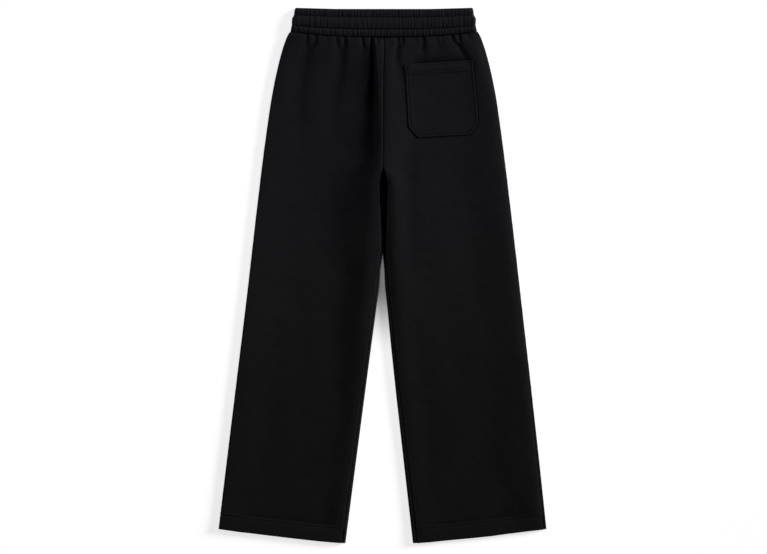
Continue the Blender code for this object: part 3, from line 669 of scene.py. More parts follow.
leftFolds = inMetres({
    "long fold down the seat": (
        (485, -79, 10, 5, 0), (461, -80, 14, 7.5, -0.7), (431, -81.5, 18, 9, -1.4),
        (391, -85, 22, 11, -1.6), (351, -94, 24, 13, -1.3), (311, -96, 24, 14, -0.8),
        (260, -96, 24, 14, 0),
    ),
    "wide fold down the seat": (
        (485, -140, 12, 6, 0), (461, -146, 18, 8, -0.8), (431, -154.5, 26, 12, -1.4),
        (391, -160, 30, 14, -1.5), (351, -166, 32, 15, -1.4), (311, -165, 32, 15, -1),
        (240, -165, 32, 15, 0),
    ),
    "ridge inside the inner edge": (
        (230, -7, 36, 36, 0), (211, -10, 44, 36, 0), (190, -16, 47, 46, 8.4), (151, -23, 45, 44, 8),
        (71, -30, 38, 42, 7.2), (-9, -31, 29, 36, 6), (-89, -43, 29, 36, 5.4), (-169, -46, 30, 36, 3.2),
        (-249, -56, 32, 36, 1.3), (-329, -65, 34, 36, 0.4), (-470, -76, 35, 40, 0),
    ),
    "broad rise to the inner edge": (
        (230, -7, 60, 160, 0), (211, -10, 60, 160, 0), (190, -15, 60, 150, 3), (71, -29, 56, 150, 2),
        (-89, -43, 56, 150, 1.2), (-249, -56, 60, 150, 0.4), (-400, -70, 60, 150, 0),
    ),
    "falls to the inner edge": (
        (-50, -7, 10, 10, 0), (-130, -17.2, 12, 10, -1), (-210, -28, 13, 10, -2.1),
        (-290, -38.4, 14, 10, -3.1), (-429, -56.6, 14, 10, -3.4), (-540, -71, 14, 10, -3.4),
    ),
})
rightFolds = inMetres({
    "rises from the centre seam": (
        (475, 3, 4, 6, 0), (455, 2.8, 4, 6.2, -0.7), (410, 1.5, 4, 6.4, -1.2), (350, 1, 4, 6.4, -1.2),
        (290, 1, 4, 6.4, -0.8), (220, 0.8, 4, 6.4, -0.8), (210, 0.8, 4, 6.4, 0),
    ),
    "swell beside the groove": (
        (230, -7, 36, 48, 0), (211, -10, 40, 48, 0), (190, -8, 40, 48, 3.6), (130, -2, 40, 48, 2.6),
        (50, 4, 40, 42, 0),
    ),
    "right thigh lies higher": (
        (230, -7, 40, 160, 0), (211, -10, 40, 160, 0), (190, -6, 42, 150, 6.4), (100, 16, 42, 130, 5),
        (-30, 30, 42, 120, 3.4), (-160, 46, 42, 120, 2), (-320, 60, 42, 120, 0),
    ),
    "falls to the inner edge": (
        (211, 0.7, 10, 6, 0), (190, 0.6, 10, 12, -5.4), (165, 0.5, 10, 16, -6.8),
        (100, 0.3, 10, 18, -5.6), (45, 0.2, 10, 18, -4.6), (0, 4, 10, 19, -4),
        (-80, 10, 10, 19.5, -3.4), (-160, 15.5, 10, 18, -2.6), (-237, 22.7, 10, 17, -2),
        (-380, 39, 10, 16, -1.8), (-540, 57, 10, 16, -1.8),
    ),
    "swell inside the outer edge": (
        (480, 170, 20, 20, 0), (450, 188, 16, 20, 1.2), (390, 202, 24, 20, 1.4),
        (330, 215, 30, 20, 1.4), (200, 226, 60, 24, 0.8), (100, 238, 60, 24, 0.4),
        (-150, 264, 60, 24, 0.2), (-300, 282, 60, 24, 0),
    ),
    "falls to the outer edge": (
        (490, 192.5, 12, 12, -1.2), (465, 204.5, 18, 12, -3.6), (430, 215, 16, 12, -3.8),
        (390, 224, 12, 12, -3.4), (350, 232, 10.5, 12, -3.2), (271, 243, 10.5, 12, -3),
        (151, 258, 10.5, 12, -3), (-45, 280.7, 11.5, 12, -3.2), (-237, 302.5, 12, 12, -3.6),
        (-510, 332.2, 11.5, 12, -3.6),
    ),
})

# Smaller folds and gathers lie in the outer face alone, over a plain inside.
smallFolds = inMetres({
    "gather 1": (
        (486, -148.3, 2.6, 2.6, -1.1), (467, -148.7, 2.8, 3, -1.3), (456, -147.5, 4, 4.5, -0.6),
        (445, -146, 6, 6, 0),
    ),
    "gather 2": (
        (485, -131, 2.6, 2.8, -1.2), (467, -131.8, 3, 3.2, -1.4), (451, -142, 4.5, 5.5, -0.4),
        (431, -148, 7, 7.5, -0.3), (400, -151, 9, 10, 0),
    ),
    "gather 3": ((483, -109, 2.6, 3, -0.6), (466, -109, 4, 4, -0.3), (450, -109, 5, 5, 0)),
    "gather 4": (
        (481, -89, 2.6, 2.8, -1.1), (467, -88.5, 3, 3.2, -1.5), (451, -84, 5, 5.5, -0.8),
        (435, -80, 7, 7, 0),
    ),
    "gather 5": (
        (481, -73, 2.6, 2.8, -1.4), (467, -72.5, 2.8, 3.2, -1.6), (451, -73.8, 4, 4.6, -0.8),
        (431, -75.5, 7, 8, -0.4), (390, -79, 10, 11, 0),
    ),
    "gather 6": ((480, -56, 2.6, 3, -0.5), (464, -56, 4.4, 4.4, 0)),
    "gather 7": (
        (480, -37.2, 2.2, 2.4, -1.4), (467, -37.2, 2.4, 2.7, -1.8), (451, -34, 4, 4.5, -0.9),
        (435, -33, 6, 6, 0),
    ),
    "gather 8": ((479, -8.3, 2.4, 2.6, -1), (467, -8.3, 2.6, 3, -1.2), (456, -8.3, 4, 4, 0)),
    "gather 9": ((479, 13, 2.6, 3, -0.5), (464, 13, 4, 4, 0)),
    "gather 10": (
        (480, 33.5, 2.6, 2.8, -1.4), (467, 33.7, 3, 3.4, -1.8), (451, 32.5, 3.6, 5, -1.6),
        (431, 32.5, 4.6, 6.4, -1.5), (411, 37.2, 6, 7, -1.1), (350, 40, 9, 10, -0.5),
        (300, 41, 10, 11, 0),
    ),
    "gather 11": (
        (480, 43.7, 2.4, 2.6, -1.2), (467, 42.5, 2.6, 3, -1.6), (459, 39.5, 3, 3.6, -1.2),
        (448, 37, 4, 4, 0),
    ),
    "gather 12": ((481, 66.7, 4, 4.4, -0.6), (467, 70, 5.6, 6, -0.8), (450, 74, 8, 8, 0)),
    "gather 13": (
        (482, 84.3, 2.8, 3, -1.6), (467, 84.3, 3.2, 3.6, -1.9), (451, 83.8, 4.4, 5.2, -1.4),
        (435, 83.5, 6, 7, -0.8), (420, 83, 8, 8, 0),
    ),
    "gather 14": (
        (483, 110, 2.6, 3, -0.8), (467, 111.5, 3.6, 4.4, -1), (451, 114, 6, 7, -0.6),
        (430, 116, 9, 9, 0),
    ),
    "gather 15": ((483, 120.5, 2.6, 2.8, -0.5), (467, 120.5, 3, 3, -0.6), (455, 120.5, 4, 4, 0)),
    "fold to the pocket": (
        (486, 140.5, 2.6, 2.8, -1.8), (475, 142.5, 2.8, 3.4, -1.9), (467, 145, 3.6, 4.4, -1.8),
        (459, 156, 4, 5.2, -1.7), (451, 160.5, 4.6, 5.6, -1.7), (443, 164.5, 5, 6.2, -1.6),
        (435, 169, 5.6, 6.6, -1.4), (425, 173.5, 6.6, 7.6, -0.7), (400, 180, 9, 9, 0),
    ),
    "gather 16": (
        (488, 156.1, 2.6, 2.8, -1.4), (472, 156.1, 3, 3.2, -1.6), (463, 157, 3.4, 3.6, -0.8),
        (454, 157, 4, 4, 0),
    ),
    "gather 17": (
        (489, 169, 3, 3.4, -1), (475, 177, 4, 5, -1), (464, 185, 6, 6, -0.4), (456, 190, 7, 7, 0),
    ),
})


def rowPlaces():
    # Fine in the gathers, at the crotch and at the hem, wider between them. Each stop is a height
    # along the leg and the distance between the rows below it.
    stops = ((0.4876, 0.0012), (0.4200, 0.0018), (0.2700, 0.0022), (0.2300, 0.0014),
             (legs["crotchY"], 0.0014), (0.1700, 0.0026), (-0.4640, 0.0010), (-0.5050, 0.0005),
             (-0.5072, None))
    places = []
    for (start, step), (end, _) in zip(stops, stops[1:]):
        count = max(1, round((start - end) / step))
        places.extend(mix(start, end, i / count) for i in range(count))
    places.append(stops[-1][0])
    return np.array(places)


class Leg:
    # one leg's rows, from its outer edge to the centre seam or inner edge
    def __init__(self, side):
        column = 1 if side < 0 else 2
        y = rowPlaces()[:, None]
        self.side = side                      # -1 left leg, +1 right leg
        self.folds = leftFolds if side < 0 else rightFolds
        self.outerY = y
        self.innerY = readTable(sections, y, 1)
        self.wall = readTable(sections, y, 2)
        self.outerZ = readTable(sections, y, 3)
        self.middleZ = readTable(sections, y, 4)
        self.innerZ = readTable(sections, y, 5)
        self.outerX = readTable(outline, y, column)
        self.innerX = readTable(innerOutline, self.innerY, column, rounded=False)
        endSoft, startSoft = legs["touchSoft"]
        touching = smooth((y - legs["touchEndY"]) / endSoft) * smooth((legs["crotchY"] - y) / startSoft)
        self.innerX = self.innerX - side * legs["closeUp"] * touching
        self.width = np.abs(self.outerX - self.innerX)
        self.outerInset = readTable(seamInsets, y, column)
        self.innerInset = readTable(seamInsets, self.innerY, 3)
        self.innerReach = readTable(innerReach, y, column)
        self.hemBow = mix(1.0, legs["hemBow"], smooth((legs["hemBowFrom"] - y) / legs["hemBowOver"]))
        self.bow = np.where(y > legs["crotchY"], legs["seatBow"], self.hemBow)
        self.joined = smooth((y - legs["crotchY"]) / (legs["joinY"] - legs["crotchY"]))
        self.rounded = smooth((legs["crotchY"] - y) / (legs["crotchY"] - legs["openY"]))
        self.crotchRow = int(np.argmin(np.abs(y[:, 0] - legs["crotchY"])))

    def fold(self, edge):
        # half the fold's height, how far it reaches in, and where the seam lies on it
        if edge == "outer":
            reach = self.outerZ / 2 if self.side > 0 else legs["leftFoldReach"] + 0 * self.outerZ
            return self.outerZ / 2, reach, self.outerInset
        return self.innerZ / 2, self.innerReach, self.innerInset

    def place(self, edge, distance):
        # x and y of points a distance in from one edge, in plan
        if edge == "outer":
            x = self.outerX - self.side * distance
        else:
            x = self.innerX + self.side * distance
        share = np.clip(np.abs(x - self.innerX) / self.width, 0.0, 1.0)
        return x, self.innerY + (self.outerY - self.innerY) * share**self.bow

    def top(self, x):
        fromOuter = np.abs(x - self.outerX)
        fromInner = np.abs(x - self.innerX)
        outerShare = smooth(1.0 - (fromOuter - self.outerZ / 2) / legs["outerRise"])
        innerRise = legs["innerRise"][0 if self.side < 0 else 1]
        innerShare = smooth(1.0 - (fromInner - self.innerZ / 2) / innerRise)
        return (self.middleZ + (self.outerZ - self.middleZ) * outerShare
                + (self.innerZ - self.middleZ) * innerShare)

    def points(self, x, y, z, depth):
        # The large folds stretch the leg's height here; its underside stays on the table.
        x, y, z = [np.array(each) for each in np.broadcast_arrays(x, y, z)]
        height = self.top(x)
        relief = foldRelief(centreFolds, x, y) + foldRelief(self.folds, x, y)
        if self.side > 0:
            relief -= pressedSeat(x, y)
        lowest = 2 * self.wall + 2 * legs["layerGap"]
        raised = np.maximum(height + relief, lowest)
        z = depth + (z - depth) * (raised - 2 * depth) / (height - 2 * depth)
        return np.stack([x, y, z], axis=-1)

    def seamRun(self, edge):
        # length round the fold from its outermost point to the seam
        radius, reach, inset = self.fold(edge)
        turn = np.arccos(1.0 - np.minimum(np.abs(inset) / reach, 1.0))
        return np.where(inset < reach, np.copysign(turn, inset) * radius,
                        radius * math.pi / 2 + inset - reach)

    def roundEdge(self, edge, run, depth):
        # points on the folded edge, a run round it, a depth into the wall
        radius, reach, _ = self.fold(edge)
        turn = run / radius
        quarter = radius * math.pi / 2
        bent = (radius - (radius - depth) * np.cos(turn)) * reach / radius
        distance = np.where(turn > math.pi / 2, reach + run - quarter,
                            np.where(turn < -math.pi / 2, reach - run - quarter, bent))
        x, y = self.place(edge, distance)
        z = np.where(turn > math.pi / 2, self.top(x) - depth,
                     np.where(turn < -math.pi / 2, depth, radius + (radius - depth) * np.sin(turn)))
        return self.points(x, y, z, depth)

    def backPoints(self, depth):
        # the back panel: outer seam, over the top, inner seam
        sides = []
        for edge in ("outer", "inner"):
            radius, reach, _ = self.fold(edge)
            first = self.seamRun(edge)
            last = radius * math.pi / 2 + legs["edgeZone"] - reach
            share = np.linspace(0.0, 1.0, legs["edgePoints"])[None, :]
            side = self.roundEdge(edge, mix(first, last, share), depth)
            if edge == "inner":
                x, y = self.place(edge, legs["edgeZone"] * share)
                flat = self.points(x, y, self.top(x) - depth, depth)
                side = mix(side, flat, self.joined[:, :, None])
            sides.append(side)
        outerSide, innerSide = sides
        share = np.linspace(0.0, 1.0, legs["topPoints"])[None, 1:-1]
        x = mix(outerSide[:, -1:, 0], innerSide[:, -1:, 0], share)
        x, y = self.place("outer", np.abs(x - self.outerX))
        middle = self.points(x, y, self.top(x) - depth, depth)
        return np.concatenate([outerSide, middle, innerSide[:, ::-1]], axis=1)

    def frontPoints(self, depth):
        # the front panel: outer seam, round the edge, underneath, inner seam
        sides = []
        for edge in ("outer", "inner"):
            radius, reach, _ = self.fold(edge)
            last = self.seamRun(edge)
            first = -radius * math.pi / 2
            share = np.linspace(0.0, 1.0, legs["wrapPoints"])[None, :]
            side = self.roundEdge(edge, mix(first, last, share), depth)
            if edge == "inner":
                turn = mix(first, last, share) / radius
                height = np.maximum(radius + radius * np.sin(turn), depth)
                x, y = self.place(edge, depth * reach / radius + 0 * share)
                square = self.points(x, y, height, 0.0)
                square = np.where(turn[:, :, None] < 0, square, side)
                side = mix(square, side, self.rounded[:, :, None])
                x, y = self.place(edge, 0 * share)
                side = np.where(self.outerY[:, :, None] > legs["crotchY"],
                                self.points(x, y, depth + 0 * share, depth), side)
            x, y = self.place(edge, legs["edgeZone"] + 0 * share[:, :1])
            sides.append(np.concatenate([self.points(x, y, depth, depth), side], axis=1))
        outerSide, innerSide = sides
        share = np.linspace(0.0, 1.0, legs["underPoints"])[None, 1:-1]
        x = mix(outerSide[:, :1, 0], innerSide[:, :1, 0], share)
        x, y = self.place("outer", np.abs(x - self.outerX))
        middle = self.points(x, y, depth, depth)
        return np.concatenate([outerSide[:, ::-1], middle, innerSide], axis=1)

    def grooveShade(self, x, y):
        # painted shade between the legs where they touch under the crotch
        away = np.abs(x - self.innerX)
        depth = smooth((self.innerReach - away) / legs["grooveSoft"] + 0.5)
        return depth * past(self.outerY, legs["grooveTo"]) * before(self.outerY, legs["grooveFrom"])


def runFrom(points, column):
    # how far each point lies from one column, along its own row
    steps = np.linalg.norm(np.diff(points, axis=1), axis=2)
    runs = np.concatenate([np.zeros((len(points), 1)), np.cumsum(steps, axis=1)], axis=1)
    return np.abs(runs - runs[:, column][:, None])


def seamRelief(run, along, seed, pull):
    # the cloth is drawn in at a seam, with a roll beside it that puckers along the seam
    pucker = 1.0
    for count, (length, share) in enumerate(legs["puckers"]):
        pucker = pucker + unevenness(along, 0 * along, seed + count, length, share)
    valley = -legs["seamValley"] * pull * bell(run, legs["seamValleyWide"])
    return valley + legs["seamRoll"] * pucker * bell(run - legs["seamRollAt"], legs["seamRollWide"])


def hemEdge(leg, share):
    # how far up the garment the hem's edge lies, a share of the way from inner to outer corner
    return mix(float(leg.innerY[-1, 0]), float(leg.outerY[-1, 0]), share**legs["hemBow"])


def aboveHem(leg, x, y):
    return y - hemEdge(leg, np.clip(np.abs(x - leg.innerX) / leg.width, 0.0, 1.0))


def hemRelief(leg, x, y):
    # two needle lines along the hem and the ridge between them
    above = aboveHem(leg, x, y)
    relief = np.zeros_like(x)
    for line, groove in zip(legs["hemStitch"], legs["hemGroove"]):
        relief -= groove * bell(above - line, legs["hemGrooveWide"])
    between = sum(legs["hemStitch"]) / 2
    relief += legs["hemRidge"] * bell(above - between, legs["hemRidgeWide"])
    return relief


def buildBack(name, side):
    leg = Leg(side)
    outer = leg.backPoints(0.0)
    inner = leg.backPoints(leg.wall)
    x, y = outer[:, :, 0], outer[:, :, 1]
    normals = gridNormals(outer) * side
    seed = 10 if side < 0 else 20
    fromWaist = np.linalg.norm(outer - outer[:1], axis=2)
    relief = foldRelief(smallFolds, x + legs["gatherShift"], y, legs["gatherLean"])
    relief *= legs["gatherDepth"]
    puffEnd = smooth((fromWaist - legs["puffFrom"]) / legs["puffTo"])
    relief += legs["waistPuff"] * smooth(fromWaist / legs["puffFrom"]) * (1.0 - puffEnd)
    relief += unevenness(x, y, seed, *legs["swell"])
    relief += unevenness(x, y, seed + 1, *legs["ripple"])
    relief *= smooth(np.abs(x - leg.outerX) / legs["edgeZone"])
    relief += seamRelief(runFrom(outer, 0), y, seed + 2, legs["outerPull"])
    centrePull = legs["centreLeftPull"] if side < 0 else 1.0
    innerPull = np.where(y > legs["crotchY"], centrePull, legs["inseamPull"])
    relief += seamRelief(runFrom(outer, -1), y, seed + 5, innerPull)
    relief += hemRelief(leg, x, y)
    relief -= legs["waistDip"] * bell(fromWaist, legs["waistDipWide"])
    outer = outer + normals * np.maximum(relief, legs["thinnest"] - leg.wall)[:, :, None]
    fromInner = np.abs(x - leg.innerX) + legs["edgeZone"] * (y > legs["crotchY"])
    fromEdges = np.minimum(np.abs(x - leg.outerX), fromInner)
    # painted shade in creases, at the foot of large folds, between the legs and round the pocket
    foot = creaseAmount(outer, legs["footDepth"], legs["footReach"]) * past(fromEdges, legs["footEdge"])
    shade = 1.0 - (1.0 - creaseAmount(outer)) * (1.0 - legs["footShade"] * foot)
    shade = np.maximum(shade, leg.grooveShade(outer[:, :, 0], outer[:, :, 1]))
    if side > 0:
        shade = np.maximum(shade, pocketShade(x, y))
    picks = [coarsePicks(count, legs["insideStep"]) for count in outer.shape[:2]]
    piece = buildWall(name, outer, inner, *picks, everywhere, side < 0, fleece, "fleece", shade)
    return piece, leg, clothArea(outer)


def buildFront(name, side):
    leg = Leg(side)
    outer = leg.frontPoints(0.0)
    inner = leg.frontPoints(leg.wall)
    seed = 30 if side < 0 else 40
    y = outer[:, :, 1]
    normals = gridNormals(outer) * -side
    lifted = past(outer[:, :, 2], legs["offTable"])
    relief = seamRelief(runFrom(outer, 0), y, seed, legs["outerPull"])
    below = (y < legs["crotchY"]) * 1.0
    relief += seamRelief(runFrom(outer, -1), y, seed + 3, legs["inseamPull"]) * below
    outer = outer + normals * (relief * lifted)[:, :, None]
    shade = leg.grooveShade(outer[:, :, 0], y)
    rows, columns = outer.shape[:2]
    step, wrap = legs["insideStep"], legs["wrapPoints"]
    rowPicks = coarsePicks(leg.crotchRow + 1, step)
    rowPicks += [leg.crotchRow + pick for pick in coarsePicks(rows - leg.crotchRow, step)[1:]]
    firstWrap = columns - wrap
    columnPicks = [*range(0, wrap, 2), *range(wrap, firstWrap), *range(firstWrap, columns, 2)]
    wrapFrom = columnPicks.index(firstWrap)

    def exists(row, column):
        return rowPicks[row] >= leg.crotchRow or column < wrapFrom

    piece = buildWall(name, outer, inner, rowPicks, columnPicks, exists, side > 0,
                      fleece, "fleece", shade)
    return piece, clothArea(outer)


leftBack, leftLeg, leftBackArea = buildBack("leftBack", -1)
rightBack, rightLeg, rightBackArea = buildBack("rightBack", 1)
leftFront, leftFrontArea = buildFront("leftFront", -1)
rightFront, rightFrontArea = buildFront("rightFront", 1)
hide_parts("back_left")
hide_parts("back_right")
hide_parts("front_left")
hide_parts("front_right")
print("leg panels made:", round(leftBackArea, 4), round(rightBackArea, 4),
      round(leftFrontArea, 4), round(rightFrontArea, 4))


waistband = {
    "centreX": 0.0015,
    "seamY": 0.4767,          # waist seam at the centre back
    "seamRise": 0.0112,       # how much higher it lies at the sides
    "topY": 0.5328,
    "topRise": 0.0014,
    "topBow": 6,              # how late the top edge rises towards the sides
    "frontPeek": 0.0014,      # how far the front's top edge shows past the back's
    "peekFrom": (0.45, 0.20),        # from this share of the way to the sides, and how softly
    "seamGap": 0.0003,
    "wall": 0.0050,           # two layers of fleece over the elastic
    "hollow": 0.0006,
    "hollowEnd": 0.0010,
    # stitch lines: share at the centre, change to the sides, rise to the right
    "lines": ((0.277, -0.035, -0.018), (0.699, 0.012, -0.012)),
    "lineDip": 0.0009,
    "lineWide": 0.022,        # as a share of the band's height
    "beadLength": 0.0033,     # the cloth puffs up between stitches
    "bead": 0.25,
    "seamDip": 0.0009,
    "seamDipWide": 0.018,
    "ribDip": 0.0009,         # the middle channel's gathers
    "ribWide": 0.0021,
    "ribEnds": (0.05, 0.12),  # how softly they end at the low and the high line
    "ribThin": 0.55,          # how deep they still are at the high line
    "channelEnds": (0.02, 0.05),     # how far the outer channels' ribs run past the lines
    "topThin": 0.35,          # how deep the high channel's ribs still are at the top edge
    "topThinFrom": (0.88, 0.12),
    "fineDip": 0.0012,        # the narrow ribs of the outer channels
    "finePitch": 0.0046,
    "fineWide": 0.0011,
    "fineSpan": (-0.183, 0.188),     # from the left to the right fold
    "fineSpread": (0.5, 1.5),
    "fineSlant": 0.0012,
    "fineDepths": (0.3, 1.0),
    "middleDip": 0.0007,      # and those between the middle channel's gathers
    "ribDark": 0.0013,        # the depth at which a rib's painted shade is darkest
    "topDark": 0.055,         # the top edge's painted dark line, a share of the height
    "stitchSpan": (-0.176, 0.181),
    "rows": 64,
    "topRows": 7,             # closer rows from a share of the height up to the top edge
    "topRowsFrom": 0.96,
    "foldColumns": 12,
    "backColumns": 590,
    "cut": (0.86, 0.060),     # the casing's outer face all round, before the elastic gathers it
}

# share of the height from waist seam to top edge, left fold, right fold, height of the top face
bandRows = (
    (0.00, -0.1844, 0.1891, 0.0098),
    (0.10, -0.1834, 0.1877, 0.0118),
    (0.18, -0.1828, 0.1869, 0.0122),
    (0.27, -0.1817, 0.1858, 0.0112),
    (0.34, -0.1818, 0.1862, 0.0122),
    (0.50, -0.1812, 0.1866, 0.0130),
    (0.59, -0.1803, 0.1855, 0.0127),
    (0.66, -0.1780, 0.1832, 0.0119),
    (0.72, -0.1773, 0.1825, 0.0112),
    (0.85, -0.1765, 0.1816, 0.0120),
    (0.96, -0.1752, 0.1804, 0.0110),
    (1.00, -0.1737, 0.1788, 0.0088),
)

# gathers of the middle channel: place at its low edge and at its high edge in millimetres,
# and how deep each one is
ribs = (
    (-173, -171, 0.5), (-163, -162, 0.8), (-156, -153, 0.7), (-148, -148, 0.6), (-137, -136, 0.8),
    (-127, -124, 1.0), (-113, -111, 0.9), (-99, -99, 0.8), (-89, -89, 0.7), (-79, -79, 0.6),
    (-71, -69, 1.0), (-64, -64, 0.3), (-57, -56, 1.0), (-51, -51, 0.4), (-40, -44, 1.0),
    (-31, -32, 0.7), (-24, -23, 0.9), (-17, -18, 0.5), (-11, -10, 0.4), (-4, -3, 0.9),
    (4, 4, 0.4), (10, 10, 0.5), (16, 15, 0.3), (22, 21, 0.9), (30, 29, 0.9),
    (40, 37, 1.0), (49, 50, 0.5), (56, 57, 0.5), (63, 62, 0.7), (71, 68, 0.4),
    (79, 77, 1.0), (89, 86, 0.9), (96, 96, 0.8), (103, 102, 0.7), (111, 111, 0.7),
    (120, 118, 0.9), (127, 127, 0.8), (133, 132, 0.4), (138, 137, 1.0), (147, 147, 0.4),
    (153, 151, 0.8), (162, 159, 1.0), (169, 168, 0.8), (176, 175, 0.6),
)


def bandAcross(x, left, right):
    # 0 at the centre to 1 at the side folds
    centre = waistband["centreX"]
    return np.minimum(np.abs(x - centre) / np.where(x > centre, right - centre, centre - left), 1.0)


def bandPlace(share, x, left, right, onBack):
    # how far up the garment a point of the band lies
    across = bandAcross(x, left, right)
    low = waistband["seamY"] + waistband["seamRise"] * across**legs["seatBow"] + waistband["seamGap"] / 2
    high = waistband["topY"] + waistband["topRise"] * across**waistband["topBow"]
    high = high + waistband["frontPeek"] * past(across, waistband["peekFrom"]) * (1.0 - onBack)
    return mix(low, high, share)


def fineRibs(seed):
    # places, slants and depths of a channel's narrow ribs
    pick = random.Random(seed)
    places = []
    x, last = waistband["fineSpan"]
    slant = waistband["fineSlant"]
    while x < last:
        x += waistband["finePitch"] * pick.uniform(*waistband["fineSpread"])
        places.append((x, pick.uniform(-slant, slant), pick.uniform(*waistband["fineDepths"])))
    return places


def lineShare(line, x, across):
    # how high up the band a stitch line runs
    centre, sides, tilt = waistband["lines"][line]
    return centre + sides * across**2 + tilt * across * np.sign(x - waistband["centreX"])


def bandRelief(share, x, across):
    # stitch lines, gathers and ribs of the casing's back
    lines = [lineShare(line, x, across) for line in (0, 1)]
    relief = np.zeros_like(x)
    bead = 1.0 + waistband["bead"] * np.cos(2 * math.pi * x / waistband["beadLength"])
    for line in lines:
        relief -= waistband["lineDip"] * bead * bell(share - line, waistband["lineWide"])
    relief -= waistband["seamDip"] * bell(share, waistband["seamDipWide"])
    between = np.clip((share - lines[0]) / (lines[1] - lines[0]), 0.0, 1.0)
    lowSoft, highSoft = waistband["ribEnds"]
    middle = smooth(between / lowSoft) * smooth((1.0 - between) / highSoft)
    middle = middle * mix(1.0, waistband["ribThin"], between)
    for low, high, depth in ribs:
        away = np.abs(x - mix(low, high, between) / 1000)
        relief -= waistband["ribDip"] * depth * middle * np.exp(-away / waistband["ribWide"])
    beyond, soft = waistband["channelEnds"]
    lowChannel = smooth((lines[0] + beyond - share) / soft)
    highChannel = smooth((share - lines[1] + beyond) / soft)
    highChannel = highChannel * mix(1.0, waistband["topThin"], past(share, waistband["topThinFrom"]))
    fine = waistband["fineDip"]
    channels = ((5, fine, lowChannel), (6, fine, highChannel), (8, waistband["middleDip"], middle))
    for seed, dip, channel in channels:
        for place, slant, depth in fineRibs(seed):
            away = np.abs(x - place - slant * (between - 0.5))
            relief -= dip * depth * channel * np.exp(-away / waistband["fineWide"])
    return relief


def buildWaistband():
    topFrom, topRows, fold = waistband["topRowsFrom"], waistband["topRows"], waistband["foldColumns"]
    lowShares = np.linspace(0.0, topFrom, waistband["rows"] - topRows + 1)[:-1]
    share = np.concatenate([lowShares, np.linspace(topFrom, 1.0, topRows)])[:, None]
    left = readTable(bandRows, share, 1)
    right = readTable(bandRows, share, 2)
    height = readTable(bandRows, share, 3)
    radius = height / 2
    under = np.linspace(0.0, 1.0, fold + 1)[None, :-1]
    turn = np.linspace(0.0, math.pi, fold + 1)[None, :-1]
    over = np.linspace(1.0, 0.0, waistband["backColumns"])[None, :-1]
    lowX, highX = left + radius, right - radius
    x = np.concatenate([mix(lowX, highX, under), highX + radius * np.sin(turn),
                        mix(lowX, highX, over), lowX - radius * np.sin(turn)], axis=1)
    z = np.concatenate([0 * under + 0 * share, radius * (1 - np.cos(turn)),
                        height + 0 * over, radius * (1 + np.cos(turn))], axis=1)
    x = np.concatenate([x, x[:, :1]], axis=1)
    z = np.concatenate([z, z[:, :1]], axis=1)
    onBack = (z > radius + 1e-6) * 1.0
    y = bandPlace(share, x, left, right, onBack)
    across = bandAcross(x, left, right)
    raised = smooth((z - radius) / radius)
    outer = np.stack([x, y, z + bandRelief(share + 0 * x, x, across) * raised], axis=-1)

    # the inside: a flat hollow with rounded ends
    middleZ = waistband["wall"] + waistband["hollow"] / 2
    lean = np.clip((x - np.clip(x, lowX, highX)) / radius, -1.0, 1.0)
    innerX = np.clip(x, lowX, highX) + waistband["hollowEnd"] * lean
    flat = np.where(lean == 0, np.sign(z - radius), (z - radius) / radius)
    innerZ = middleZ + waistband["hollow"] / 2 * flat
    inner = np.stack([innerX, bandPlace(share, innerX, left, right, onBack), innerZ], axis=-1)

    rows, columns = outer.shape[:2]
    back = 2 * fold                           # the underside's and one fold's columns come first
    backEnd = back + waistband["backColumns"] - 1
    columnPicks = [*range(0, fold, 3), *range(fold, back, 2),
                   *[back + pick for pick in coarsePicks(waistband["backColumns"], 8)],
                   *range(backEnd + 2, columns - 1, 2), columns - 1]
    # painted shade in the ribs and along the top edge
    topEdge = smooth((share - 1.0 + waistband["topDark"]) / waistband["topDark"])
    shade = np.maximum(creaseAmount(outer, waistband["ribDark"]) * raised, topEdge + 0 * x)
    piece = buildWall("waistCasing", outer, inner, coarsePicks(rows, 8), columnPicks,
                      everywhere, False, bandFleece, "waistband_fleece", shade, tube=True)
    return piece, clothArea(outer)


waistCasing, bandArea = buildWaistband()
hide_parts("waistband")
print("waistband made:", round(bandArea, 4))


